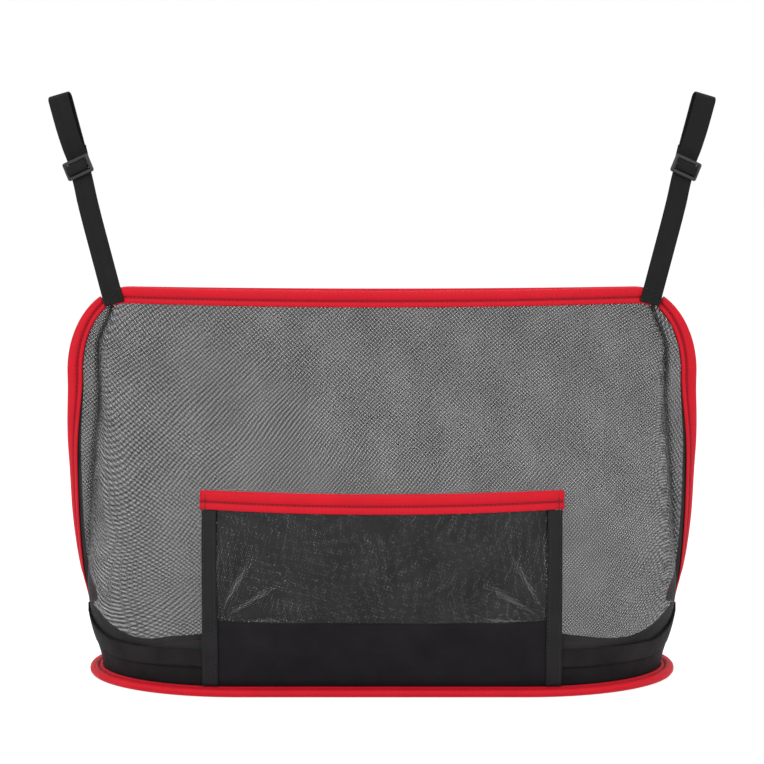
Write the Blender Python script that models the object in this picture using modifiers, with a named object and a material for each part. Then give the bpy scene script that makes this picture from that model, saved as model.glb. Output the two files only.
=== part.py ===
"""Car seat net pocket: a see-through mesh bag on a flat oval base, with a small front pocket.

Metres, +Z up. X runs across the bag and Y from its front to its back. The origin is the middle of the
underside of the base. The bag is shown as it hangs open, with its two straps upright.
"""

import math

import bmesh
import bpy
from mathutils import Matrix, Vector, geometry

# Fabrics and the clearance between layers that are sewn together
GAP = 0.0003
SLACK = 0.00045
NET_THICKNESS = 0.0008
CLOTH_THICKNESS = 0.0010
BINDING_WALL = 0.0008

# Base: a stiffened oval floor with half-elliptical corners, and its bound rim
BASE_LENGTH = 0.394
BASE_DEPTH = 0.112
BASE_CORNER = 0.100
BASE_THICKNESS = 0.004
RIM_WIDTH = 0.009
RIM_HEIGHT = 0.0055
RIM_ROUND = 0.0017

# Body: heights are above the underside of the base, half widths are at the side seams
BODY_HEIGHT = 0.271
MOUTH_HALF_GAP = 0.0235
FRONT_SAG = 0.0016
BACK_SAG = 0.0035
SIDE_BULGE = 0.0145
# (share of the body's height, share of the side bulge)
SIDE_PROFILE = (
    (0.00, 0.00),
    (0.05, 0.10),
    (0.12, 0.50),
    (0.18, 0.72),
    (0.26, 0.90),
    (0.41, 1.00),
    (0.58, 0.99),
    (0.78, 0.84),
)
# (share of the body's height, how far inside the seam the net folds forward)
WING_PROFILE = ((0.18, 0.0), (0.26, 0.0020), (0.41, 0.0064), (0.56, 0.0093), (0.70, 0.0115), (0.78, 0.0115))
MOUTH_INSET = 0.0120
CORNER_LENGTH = 0.045
CORNER_HEIGHT = 0.060
MOUTH_STEP = 0.0030
FOLD_STEP = 0.0100
FOLD_CORNER = 0.0080
BACK_FLATNESS = 4.0

# Bindings: folded tapes that clamp the edges of the nets
TOP_BINDING = 0.0112
SIDE_BINDING = 0.0108
SIDE_BINDING_NECK = 0.0078
SIDE_BINDING_START = math.radians(62)
# (share of the body's height, how far the side binding is turned to the back, in degrees)
FIN_TURN = ((0.185, 90.0), (0.256, 72.0), (0.40, 54.0), (0.55, 44.0), (0.72, 12.0), (0.78, 0.0))
FIN_ROOT = 0.0042

# Solid black skirt above the base: low in front, lower behind, a point at each side seam
SKIRT_FRONT = 0.030
SKIRT_BACK = 0.0095
SKIRT_TIP = 0.048
TIP_RUN_FRONT = 0.036
TIP_RUN_BACK = 0.052

# Front pocket
POCKET_WIDTH = 0.240
POCKET_TOP = 0.137
POCKET_BAND = 0.051
POCKET_BINDING = 0.0125
POCKET_BINDING_LAP = 0.0015
POCKET_BULGE = 0.012
TAPE_WIDTH = 0.010
TAPE_COVER = 0.0085

# Net: a coarse stand-in for the fine mesh, with the same share of open area
NET_PITCH = 0.0375
POCKET_NET_PITCH = 0.026
HOLE_HALF = 0.304
POCKET_HOLE_HALF = 0.24
NET_MARGIN = 0.0045

# Straps and their three-bar sliders
WEBBING_WIDTH = 0.015
WEBBING_THICKNESS = 0.0010
FOOT_INSET = 0.0020
FOOT_BELOW = -0.0010
STRAP_LEAN = math.radians(14.6)
STRAP_YAW = math.radians(13.0)
STRAP_LENGTH = 0.1465
SLIDER_AT = 0.0954
SLIDER_WIDTH = 0.0200
SLIDER_HEIGHT = 0.0128
SLIDER_THICKNESS = 0.0024
SLIDER_SKEW = math.radians(8.0)
CENTRE_BAR = 0.0022
CENTRE_BAR_THICKNESS = 0.0016
SLOT = 0.0029
SLOT_SIDE = 0.0014
LOOP_FRONT = 0.0040
LOOP_BACK = 0.0056
SEWN_TAIL = 0.013

# Places worked out from the sizes above
LAYER_STEP = (NET_THICKNESS + SLACK) / 2
SKIRT_OFFSET = NET_THICKNESS / 2 + GAP + CLOTH_THICKNESS / 2
POCKET_OFFSET = SKIRT_OFFSET + CLOTH_THICKNESS / 2 + GAP + CLOTH_THICKNESS / 2
TAPE_OFFSET = POCKET_OFFSET + CLOTH_THICKNESS + GAP
FLOOR_TOP = BASE_THICKNESS + GAP
RIM_TOP = RIM_HEIGHT + GAP
FOLD_AT_MOUTH = BASE_LENGTH / 2 - MOUTH_INSET
FOOT_X = FOLD_AT_MOUTH - FOOT_INSET
LOW_HALF_LENGTH = BASE_LENGTH / 2 - GAP - CLOTH_THICKNESS / 2 - SKIRT_OFFSET - LAYER_STEP
LOW_HALF_DEPTH = BASE_DEPTH / 2 - GAP - CLOTH_THICKNESS / 2 - SKIRT_OFFSET
SEAM_AT_CORNER = LOW_HALF_LENGTH + SIDE_BULGE * SIDE_PROFILE[-1][1]
CORNER_X = SEAM_AT_CORNER - (CORNER_LENGTH - SIDE_BINDING)
CORNER_Z = BODY_HEIGHT - CORNER_HEIGHT
SINGLE_SLOT = NET_THICKNESS / 2 + SLACK
DOUBLE_SLOT = LAYER_STEP + SINGLE_SLOT
NET_TOP_INSET = BINDING_WALL + SLACK

BLACK = (0.012, 0.012, 0.013, 1.0)
NET_GREY = (0.030, 0.030, 0.032, 1.0)
RED = (0.72, 0.018, 0.035, 1.0)
PLASTIC = (0.020, 0.020, 0.022, 1.0)


def through(points, x):
    """The value at x of a smooth curve through (x, value) points, level beyond both ends."""
    if x <= points[0][0]:
        return points[0][1]
    if x >= points[-1][0]:
        return points[-1][1]
    i = next(k for k in range(len(points) - 1) if x <= points[k + 1][0])

    def slope(k):
        if k == 0 or k == len(points) - 1:
            return 0.0
        return (points[k + 1][1] - points[k - 1][1]) / (points[k + 1][0] - points[k - 1][0])

    (x0, y0), (x1, y1) = points[i], points[i + 1]
    run = x1 - x0
    t = (x - x0) / run
    rise = (1 + 2 * t) * (1 - t) ** 2 * y0 + t * t * (3 - 2 * t) * y1
    return rise + run * (t * (1 - t) ** 2 * slope(i) - t * t * (1 - t) * slope(i + 1))


def smooth(low, high, x):
    """0 below low and 1 above high, with a smooth step between."""
    t = min(max((x - low) / (high - low), 0.0), 1.0)
    return t * t * (3 - 2 * t)


def mix(a, b, t):
    return a + (b - a) * t


def seam_x(z):
    """Half the body's width at its side seams."""
    if z > CORNER_Z:
        rise = min((z - CORNER_Z) / (CORNER_HEIGHT - SIDE_BINDING_NECK), 1.0)
        return CORNER_X + (CORNER_LENGTH - SIDE_BINDING) * math.sqrt(1 - rise * rise)
    return LOW_HALF_LENGTH + SIDE_BULGE * through(SIDE_PROFILE, z / BODY_HEIGHT)


def fold_x(z):
    """Where the net folds forward, which moves in from the seam as the bag narrows to its mouth."""
    wing = through(WING_PROFILE, z / BODY_HEIGHT)
    side = LOW_HALF_LENGTH + SIDE_BULGE * through(SIDE_PROFILE, z / BODY_HEIGHT)
    return mix(side - wing, FOLD_AT_MOUTH, smooth(0.84, 0.96, z / BODY_HEIGHT))


def fin_turn(z):
    return math.radians(through(FIN_TURN, z / BODY_HEIGHT))


def half_depth(z):
    return mix(LOW_HALF_DEPTH, MOUTH_HALF_GAP, smooth(0.40, 1.02, z / BODY_HEIGHT))


SECTIONS = {}


def section(z, side):
    """(points, lengths) of half the bag's outline at height z, from the middle to the side seam.

    side is -1 for the front and 1 for the back. The outline is straight in the middle with
    elliptical corners at the base. Higher up the corner tightens to a fold, and the net between
    the fold and the seam lies flat.
    """
    key = (round(z, 6), side)
    if key in SECTIONS:
        return SECTIONS[key]
    depth = half_depth(z)
    rise = z / BODY_HEIGHT
    fold = fold_x(z)
    step = mix(depth, FOLD_STEP, smooth(0.06, 0.80, rise))
    step = mix(step, MOUTH_STEP, smooth(0.86, 0.97, rise))
    corner = mix(BASE_CORNER - (LOW_HALF_DEPTH - depth), FOLD_CORNER, smooth(0.05, 0.80, rise))
    start = fold - corner
    pointed = smooth(0.05, 0.19, rise) if side > 0 else 0.0
    xs = [start * i / 16 for i in range(16)]
    xs += [start + corner * math.sin(math.pi / 2 * i / 14) for i in range(15)]
    points = []
    for x in xs:
        across = x / fold
        round_part = step * math.sqrt(max(0.0, 1 - (max(x - start, 0.0) / corner) ** 2))
        arc = (depth - step) * (1 - across * across)
        sharp = depth * (1 - across ** mix(BACK_FLATNESS, 2.0, smooth(0.4, 1.0, rise)))
        points.append(Vector((x, side * mix(round_part + arc, sharp, pointed), z)))
    seam = seam_x(z)
    if seam > fold + 1e-5:
        points += [Vector((mix(fold, seam, i / 4), 0.0, z)) for i in range(1, 5)]
    turn = fin_turn(z)
    apart = Vector((math.sin(turn), -math.cos(turn), 0.0)) * LAYER_STEP * -side
    for p in points:
        p += apart * smooth(fold - 0.020, fold - 0.002, p.x)
    lengths = [0.0]
    for a, b in zip(points, points[1:]):
        lengths.append(lengths[-1] + (b - a).length)
    SECTIONS[key] = points, lengths
    return SECTIONS[key]


def seam_length(z, side):
    """How far the side seam is from the middle, along the cloth."""
    return section(z, side)[1][-1]


def on_body(s, z, side):
    """The point s along the cloth from the middle, at height z. Past the seam it runs out along the fin."""
    points, lengths = section(z, side)
    reach = abs(s)
    if reach >= lengths[-1]:
        turn = fin_turn(z)
        p = points[-1] + Vector((math.cos(turn), math.sin(turn), 0.0)) * (reach - lengths[-1])
    else:
        i = next(k for k in range(len(lengths) - 1) if reach <= lengths[k + 1])
        p = points[i].lerp(points[i + 1], (reach - lengths[i]) / (lengths[i + 1] - lengths[i]))
    return Vector((math.copysign(p.x, s) if s else p.x, p.y, p.z))


def normal_on_body(s, z, side):
    """The unit vector that points out of the bag there."""
    e = 0.0015
    z0, z1 = max(z - e, 0.0), z + e
    across = on_body(s + e, z, side) - on_body(s - e, z, side)
    up = on_body(s, z1, side) - on_body(s, z0, side)
    return (across.cross(up) * -side).normalized()


def off_body(s, z, side, offset):
    return on_body(s, z, side) + normal_on_body(s, z, side) * offset


def length_at(x, z, side):
    """How far along the cloth the point over x is, at height z."""
    points, lengths = section(z, side)
    if x >= points[-1].x:
        return lengths[-1] + x - points[-1].x
    i = next(k for k in range(len(points) - 1) if x <= points[k + 1].x)
    return mix(lengths[i], lengths[i + 1], (x - points[i].x) / (points[i + 1].x - points[i].x))


def mouth_z(x, side):
    """Height of the mouth's edge over x: it sags a little in the middle and rounds into the corners."""
    sag = FRONT_SAG if side < 0 else BACK_SAG
    past = min(max(abs(x) - CORNER_X, 0.0) / CORNER_LENGTH, 1.0)
    round_top = CORNER_Z + CORNER_HEIGHT * math.sqrt(1 - past * past)
    return round_top - sag * max(0.0, 1 - (x / FOLD_AT_MOUTH) ** 2)


def mouth_stations():
    """Where along the mouth its bindings and the nets share points, closer together near the ends."""
    end = FOLD_AT_MOUTH - 0.0015
    half = [end * i for i in (0.12, 0.24, 0.36, 0.48, 0.60, 0.71, 0.80, 0.87, 0.92, 0.955, 0.98, 1.0)]
    return [-x for x in reversed(half)] + [0.0] + half


def side_stations():
    """Heights that the side bindings and the nets share, from the corner down to the skirt's point."""
    return spaced(CORNER_Z, SKIRT_TIP + 0.003, 15)


SKIRT_SHARES = (0.0, 0.18, 0.34, 0.46, 0.56, 0.65, 0.73, 0.80, 0.86, 0.91, 0.96)


# Scene and mesh helpers


def clear_scene():
    for obj in list(bpy.data.objects):
        bpy.data.objects.remove(obj)


def collection(name):
    made = bpy.data.collections.new(name)
    bpy.context.scene.collection.children.link(made)
    return made


def material(name, colour, roughness, metallic=0.0):
    made = bpy.data.materials.new(name)
    made.use_nodes = True
    shader = made.node_tree.nodes["Principled BSDF"]
    shader.inputs["Base Color"].default_value = colour
    shader.inputs["Roughness"].default_value = roughness
    shader.inputs["Metallic"].default_value = metallic
    made.diffuse_color = colour
    return made


def add_object(name, bm, finish, where):
    """The bmesh as a named object, its normals pointing out."""
    bmesh.ops.recalc_face_normals(bm, faces=bm.faces)
    mesh = bpy.data.meshes.new(name)
    bm.to_mesh(mesh)
    bm.free()
    mesh.materials.append(finish)
    obj = bpy.data.objects.new(name, mesh)
    where.objects.link(obj)
    return obj


def loft(rings, closed=False):
    """A solid skin over rings of equally many points, capped at its ends unless it closes on itself."""
    bm = bmesh.new()
    rows = [[bm.verts.new(p) for p in ring] for ring in rings]
    pairs = list(zip(rows, rows[1:])) + ([(rows[-1], rows[0])] if closed else [])
    for one, two in pairs:
        for i in range(len(one)):
            j = (i + 1) % len(one)
            bm.faces.new((one[i], one[j], two[j], two[i]))
    if not closed:
        bm.faces.new(rows[0])
        bm.faces.new(rows[-1])
    return bm


def channel(stations, slot, wall):
    """A folded tape: at each (mouth, outward, aside, width) its section is a U that opens inward."""
    half = slot + wall
    rings = []
    for mouth, outward, aside, width in stations:
        shape = (
            (0.0, half),
            (width - half, half),
            (width, half * 0.45),
            (width, -half * 0.45),
            (width - half, -half),
            (0.0, -half),
            (0.0, -slot),
            (width - wall, -slot),
            (width - wall, slot),
            (0.0, slot),
        )
        rings.append([mouth + outward * a + aside * b for a, b in shape])
    return loft(rings)


def inside(point, polygon):
    """True if a 2D point lies in a polygon."""
    x, y = point
    hit = False
    for (x0, y0), (x1, y1) in zip(polygon, polygon[1:] + polygon[:1]):
        if (y0 > y) != (y1 > y) and x < x0 + (y - y0) / (y1 - y0) * (x1 - x0):
            hit = not hit
    return hit


def distance_to(point, polygon):
    best = math.inf
    for (x0, y0), (x1, y1) in zip(polygon, polygon[1:] + polygon[:1]):
        dx, dy = x1 - x0, y1 - y0
        t = ((point[0] - x0) * dx + (point[1] - y0) * dy) / max(dx * dx + dy * dy, 1e-12)
        t = min(max(t, 0.0), 1.0)
        best = min(best, math.hypot(point[0] - x0 - t * dx, point[1] - y0 - t * dy))
    return best


def diamonds(area, pitch, half, middle):
    """Square gaps set on their corners, where they clear the edge of the area by NET_MARGIN."""
    across = max(abs(x) for x, y in area)
    low = min(y for x, y in area)
    high = max(y for x, y in area)
    holes = []
    rows = math.ceil((high - low) / pitch) * 2 + 2
    columns = math.ceil(across / pitch) * 2 + 2
    for j in range(-rows, rows + 1):
        for i in range(-columns, columns + 1):
            if (i + j) % 2:
                continue
            x, y = i * pitch / 2, middle + j * pitch / 2
            corners = [(x + half, y), (x, y + half), (x - half, y), (x, y - half)]
            if all(inside(c, area) and distance_to(c, area) > NET_MARGIN for c in corners):
                holes.append(corners)
    return holes


def net(name, outline, holes, guides, place, thickness, finish, where):
    """A sheet with gaps: triangles over the flat cut, each point then put in its place in space."""
    points, edges = [], []
    for ring in [outline] + holes:
        first = len(points)
        points += [Vector(p) for p in ring]
        edges += [(first + i, first + (i + 1) % len(ring)) for i in range(len(ring))]
    for guide in guides:
        points += [Vector(p) for p in guide if all(not inside(p, hole) for hole in holes)]
    flat, _, faces, _, _, _ = geometry.delaunay_2d_cdt(points, edges, [], 0, 1e-6)
    bm = bmesh.new()
    made = [bm.verts.new(place(p.x, p.y)) for p in flat]
    for face in faces:
        middle = sum((flat[i] for i in face), Vector((0.0, 0.0))) / len(face)
        if inside(middle, outline) and not any(inside(middle, hole) for hole in holes):
            bm.faces.new([made[i] for i in face])
    bmesh.ops.delete(bm, geom=[v for v in made if not v.link_faces], context="VERTS")
    obj = add_object(name, bm, finish, where)
    thicken(obj, thickness)
    return obj


def sheet(name, across, up, place, thickness, finish, where):
    """A plain piece of cloth over a grid of (across, up) places."""
    bm = bmesh.new()
    rows = [[bm.verts.new(place(s, z)) for s in across] for z in up]
    for one, two in zip(rows, rows[1:]):
        for i in range(len(one) - 1):
            bm.faces.new((one[i], one[i + 1], two[i + 1], two[i]))
    obj = add_object(name, bm, finish, where)
    thicken(obj, thickness)
    return obj


def thicken(obj, thickness):
    shell = obj.modifiers.new("Thickness", "SOLIDIFY")
    shell.thickness = thickness
    shell.offset = 0.0
    shell.use_even_offset = True


def spaced(low, high, count):
    return [mix(low, high, i / (count - 1)) for i in range(count)]


# Base


def base_outline(grow, per_corner=9):
    """The oval of the base, grown outwards by grow, as (x, y) points."""
    half_length, half_depth_ = BASE_LENGTH / 2, BASE_DEPTH / 2
    straight = half_length - BASE_CORNER
    quarter = []
    for i in range(per_corner):
        a = math.pi / 2 * i / (per_corner - 1)
        out = Vector((math.cos(a) / BASE_CORNER, math.sin(a) / half_depth_)).normalized()
        quarter.append(Vector((straight + BASE_CORNER * math.cos(a), half_depth_ * math.sin(a))) + out * grow)
    half = quarter + [Vector((-p.x, p.y)) for p in reversed(quarter)]
    return half + [Vector((p.x, -p.y)) for p in reversed(half[1:-1])]


def make_base_panel(finish, where):
    rings = [[Vector((p.x, p.y, z)) for p in base_outline(0.0)] for z in (0.0, BASE_THICKNESS)]
    return add_object("base_panel", loft(rings), finish, where)


def make_base_rim(finish, where):
    """The bound edge of the base, rounded on its outer side."""
    section_points = (
        (GAP, 0.0),
        (RIM_WIDTH - RIM_ROUND, 0.0),
        (RIM_WIDTH, RIM_ROUND),
        (RIM_WIDTH, RIM_HEIGHT - RIM_ROUND),
        (RIM_WIDTH - RIM_ROUND, RIM_HEIGHT),
        (GAP, RIM_HEIGHT),
    )
    loops = [[Vector((p.x, p.y, z)) for p in base_outline(r)] for r, z in section_points]
    rings = [list(ring) for ring in zip(*loops)]
    return add_object("base_rim", loft(rings, closed=True), finish, where)


def skirt_height(s, side):
    """Top edge of the skirt: level, then rising to a point at the side seam."""
    from_seam = seam_length(FLOOR_TOP, side) - abs(s)
    level, run, power = (SKIRT_FRONT, TIP_RUN_FRONT, 1.5) if side < 0 else (SKIRT_BACK, TIP_RUN_BACK, 2.0)
    near = max(0.0, 1 - from_seam / run)
    return level + (SKIRT_TIP - level) * near**power


def skirt_rows(top):
    """Heights that the skirt and the nets behind it share, where the skirt's own edge is at top."""
    return [mix(FLOOR_TOP, top, x) for x in (0.0, 0.35, 0.7, 1.0)]


def make_base_skirt(finish, where):
    """One band round the base, outside both nets."""
    shares = [-x for x in reversed(SKIRT_SHARES[1:])] + list(SKIRT_SHARES)
    stations = [(x, -1) for x in shares] + [(1.0, 0)] + [(x, 1) for x in reversed(shares)] + [(-1.0, 0)]
    rings = []
    for share, side in stations:
        ring = []
        face = side or -1
        rows = skirt_rows(skirt_height(share * seam_length(FLOOR_TOP, face), face))
        for offset, heights in ((0.5, rows), (-0.5, reversed(rows))):
            ring += [skirt_point(share, side, z, SKIRT_OFFSET + offset * CLOTH_THICKNESS) for z in heights]
        rings.append(ring)
    return add_object("base_skirt", loft(rings, closed=True), finish, where)


def skirt_point(share, side, z, offset):
    """A point of the skirt, at a share of the way to the seam. side 0 is the seam itself."""
    if side:
        return off_body(share * seam_length(z, side), z, side, offset)
    return Vector((math.copysign(seam_x(z) + offset + LAYER_STEP, share), 0.0, z))


# Nets and their bindings


def fin_reach(z):
    """How far the side binding's outer edge is from the seam, along the fin, below the corner."""
    return SIDE_BINDING + fin_root(z)


def fin_root(z):
    return FIN_ROOT * smooth(0.0, 1.0, math.sin(fin_turn(z)))


def net_outline(side):
    """Half of a net's cut in (along the cloth, height), from the middle to its edge, as a closed ring."""
    right = [(seam_length(z, side), z) for z in skirt_rows(SKIRT_TIP)]
    for z in reversed(side_stations()):
        held = smooth(0.60, 0.35, math.sin(fin_turn(z))) if side > 0 else 1.0
        reach = (fin_reach(z) - NET_TOP_INSET) * held
        right.append((seam_length(z, side) + reach, z))
    for a in side_angles()[::-1][1:]:
        x = CORNER_X + (CORNER_LENGTH - NET_TOP_INSET) * math.cos(a)
        z = CORNER_Z + (CORNER_HEIGHT - NET_TOP_INSET) * math.sin(a)
        right.append((length_at(x, z, side), z))
    top = [along_mouth(x, side, NET_TOP_INSET) for x in reversed(mouth_stations()) if x > 0]
    rows = skirt_rows(skirt_height(0.0, side))
    under_mouth = mouth_z(0.0, side) - TOP_BINDING - GAP
    heights = rows + spaced(rows[-1], under_mouth, 11)[1:] + [mouth_z(0.0, side) - NET_TOP_INSET]
    middle = [(GAP / 2, z) for z in reversed(heights)]
    bottom = [(seam_length(FLOOR_TOP, side) * x, FLOOR_TOP) for x in SKIRT_SHARES[1:]]
    return right + top + middle + bottom


def along_mouth(x, side, below):
    """(along the cloth, height) of the point below the mouth's edge over x."""
    z = mouth_z(x, side) - below
    return math.copysign(length_at(abs(x), z, side), x), z


def side_angles():
    """Turns round the upper corner at which the side bindings and the nets share points."""
    return spaced(SIDE_BINDING_START, 0.0, 9)


def net_guides(side):
    """Points inside the cut, so that the net follows its folds and lies flat in its bindings."""
    right = []
    for z in side_stations() + spaced(CORNER_Z, BODY_HEIGHT - TOP_BINDING - 0.004, 7)[1:]:
        fold = length_at(fold_x(z), z, side)
        seam = seam_length(z, side)
        right += [(fold - inwards, z) for inwards in (0.0, 0.003, 0.007, 0.013, 0.026)]
        if seam - fold > 0.003:
            right.append((seam, z))
        if seam - fold > 0.007:
            right.append((fold + 0.0035, z))
        if side < 0 and z <= CORNER_Z:
            right.append((seam + fin_root(z) + 0.003, z))
    for share in SKIRT_SHARES[1:]:
        rows = skirt_rows(skirt_height(share * seam_length(FLOOR_TOP, side), side))
        right += [(share * seam_length(z, side), z) for z in rows[1:]]
    mouth = [along_mouth(x, side, TOP_BINDING + GAP) for x in mouth_stations() if x > 0]
    return [right, mouth]


def make_net(name, side, hand, finish, where):
    """Half of one wall of the bag, with its gaps clear of the skirt, the top binding and the folds."""
    low = (SKIRT_FRONT if side < 0 else SKIRT_BACK) + 0.004
    top = BODY_HEIGHT - TOP_BINDING - 0.002
    area = [(length_at(fold_x(z), z, side) - 0.012, z) for z in spaced(low, top, 12)]
    area += [(GAP / 2, top), (GAP / 2, low)]
    middle = (low + top) / 2 + (NET_PITCH / 4 if side > 0 else 0.0)
    holes = diamonds(area, NET_PITCH, HOLE_HALF * NET_PITCH, middle)

    def place(s, z):
        return on_body(s * hand, z, side)

    return net(name, net_outline(side), holes, net_guides(side), place, NET_THICKNESS, finish, where)


def top_binding_station(x, side):
    """(mouth, outward, aside, width) of the folded tape over x."""
    high = on_body(*along_mouth(x, side, 0.0), side)
    low = on_body(*along_mouth(x, side, TOP_BINDING), side)
    before = on_body(*along_mouth(x - 0.001, side, 0.0), side)
    after = on_body(*along_mouth(x + 0.001, side, 0.0), side)
    up = (high - low).normalized()
    return low, up, ((after - before).cross(up) * -side).normalized(), (high - low).length


def make_top_binding(name, side, finish, where):
    stations = [top_binding_station(x, side) for x in mouth_stations()]
    return add_object(name, channel(stations, SINGLE_SLOT, BINDING_WALL), finish, where)


def make_side_binding(name, hand, finish, where):
    """The fin that clamps both nets: round the upper corner, then down, turning to the back."""
    stations = []
    for a in side_angles():
        inner = Vector((
            CORNER_X + (CORNER_LENGTH - SIDE_BINDING) * math.cos(a),
            0.0,
            CORNER_Z + (CORNER_HEIGHT - SIDE_BINDING_NECK) * math.sin(a),
        ))
        outer = Vector((CORNER_X + CORNER_LENGTH * math.cos(a), 0.0, CORNER_Z + CORNER_HEIGHT * math.sin(a)))
        across = outer - inner
        stations.append((inner, across.normalized(), Vector((0.0, -1.0, 0.0)), across.length))
    for z in side_stations()[1:]:
        turn = fin_turn(z)
        along = Vector((math.cos(turn), math.sin(turn), 0.0))
        inner = Vector((seam_x(z), 0.0, z)) + along * fin_root(z)
        stations.append((inner, along, Vector((math.sin(turn), -math.cos(turn), 0.0)), SIDE_BINDING))
    flip = Vector((hand, 1.0, 1.0))
    mirrored = [(m * flip, o * flip, a * flip, w) for m, o, a, w in stations]
    return add_object(name, channel(mirrored, DOUBLE_SLOT, BINDING_WALL), finish, where)


# Front pocket

POCKET_SHARES = (-1.0, -0.93, -0.82, -0.66, -0.48, -0.30, -0.10, 0.10, 0.30, 0.48, 0.66, 0.82, 0.93, 1.0)


def pocket_offset(s, z):
    """How far the pocket's cloth stands off the front net: sewn down at its sides, open at its mouth."""
    across = max(0.0, 1 - (2 * s / POCKET_WIDTH) ** 4)
    return POCKET_OFFSET + POCKET_BULGE * across * smooth(RIM_TOP, 0.62 * POCKET_TOP, z)


def on_pocket(s, z):
    return off_body(s, z, -1, pocket_offset(s, z))


def on_tape(s, z):
    return off_body(s, z, -1, pocket_offset(s, z) + TAPE_OFFSET - POCKET_OFFSET)


def make_pocket_net(finish, where):
    half = POCKET_WIDTH / 2 - POCKET_BINDING_LAP
    low, high = POCKET_BAND + GAP, POCKET_TOP - NET_TOP_INSET
    across = [half * x for x in POCKET_SHARES]
    outline = [(s, low) for s in across] + [(half, z) for z in spaced(low, high, 5)[1:-1]]
    outline += [(s, high) for s in reversed(across)] + [(-half, z) for z in spaced(high, low, 5)[1:-1]]
    clear = half - TAPE_COVER
    top = POCKET_TOP - POCKET_BINDING
    area = [(-clear, low), (clear, low), (clear, top), (-clear, top)]
    holes = diamonds(area, POCKET_NET_PITCH, POCKET_HOLE_HALF * POCKET_NET_PITCH, (low + top) / 2)
    edge = half - TAPE_WIDTH
    guides = [[(hand * edge, z) for z in spaced(low + 0.01, top - 0.01, 4)] for hand in (-1, 1)]
    guides.append([(s, top - GAP) for s in across[1:-1]])
    return net("pocket_net", outline, holes, guides, on_pocket, NET_THICKNESS, finish, where)


def make_pocket_band(finish, where):
    half = POCKET_WIDTH / 2 - POCKET_BINDING_LAP
    across = [half * x for x in POCKET_SHARES]
    rows = spaced(RIM_TOP, POCKET_BAND, 5)
    return sheet("pocket_band", across, rows, on_pocket, CLOTH_THICKNESS, finish, where)


def make_pocket_tape(name, hand, finish, where):
    outer = POCKET_WIDTH / 2
    across = sorted(hand * x for x in (outer, outer - TAPE_WIDTH / 2, outer - TAPE_WIDTH))
    top = POCKET_TOP - POCKET_BINDING - GAP
    return sheet(name, across, spaced(RIM_TOP, top, 9), on_tape, CLOTH_THICKNESS, finish, where)


def make_pocket_binding(finish, where):
    half = POCKET_WIDTH / 2 - POCKET_BINDING_LAP
    lap = POCKET_WIDTH / 2 + POCKET_BINDING_LAP
    stations = []
    for s in [-lap] + [half * x for x in POCKET_SHARES] + [lap]:
        low = on_pocket(s, POCKET_TOP - POCKET_BINDING)
        rise = on_pocket(s, POCKET_TOP) - low
        across = on_pocket(s + 0.002, POCKET_TOP) - on_pocket(s - 0.002, POCKET_TOP)
        stations.append((low, rise.normalized(), across.cross(rise).normalized(), rise.length))
    return add_object("pocket_binding", channel(stations, SINGLE_SLOT, BINDING_WALL), finish, where)


# Straps: along each strap s runs up from its foot, and n out of its front face


def strap_frame(hand):
    """Place and turn of a strap: local X across it, Y to its back and Z along it."""
    top = mouth_z(FOOT_X, -1) - TOP_BINDING / 2
    seat = on_body(length_at(FOOT_X, top, -1) * hand, top, -1)
    turn = Matrix.Rotation(STRAP_YAW * hand, 4, "Z") @ Matrix.Rotation(STRAP_LEAN * hand, 4, "Y")
    out = turn.to_3x3() @ Vector((0.0, -1.0, 0.0))
    down = turn.to_3x3() @ Vector((0.0, 0.0, -(TOP_BINDING / 2 + FOOT_BELOW)))
    reach = 0.0
    for x in [x * hand for x in mouth_stations() if abs(x - FOOT_X) < WEBBING_WIDTH * 0.62]:
        low, up, aside, width = top_binding_station(x, -1)
        face = low + aside * (SINGLE_SLOT + BINDING_WALL)
        reach = max(reach, (face - seat).dot(out), (face + up * width - seat).dot(out))
    return Matrix.Translation(seat + out * (reach + GAP + WEBBING_THICKNESS / 2) + down) @ turn


def arc(middle, radius, start, end, steps):
    """Points (s, n) on part of a circle, its angles in degrees from the s axis."""
    angles = [math.radians(mix(start, end, i / steps)) for i in range(steps + 1)]
    return [(middle[0] + radius * math.cos(a), middle[1] + radius * math.sin(a)) for a in angles]


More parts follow.
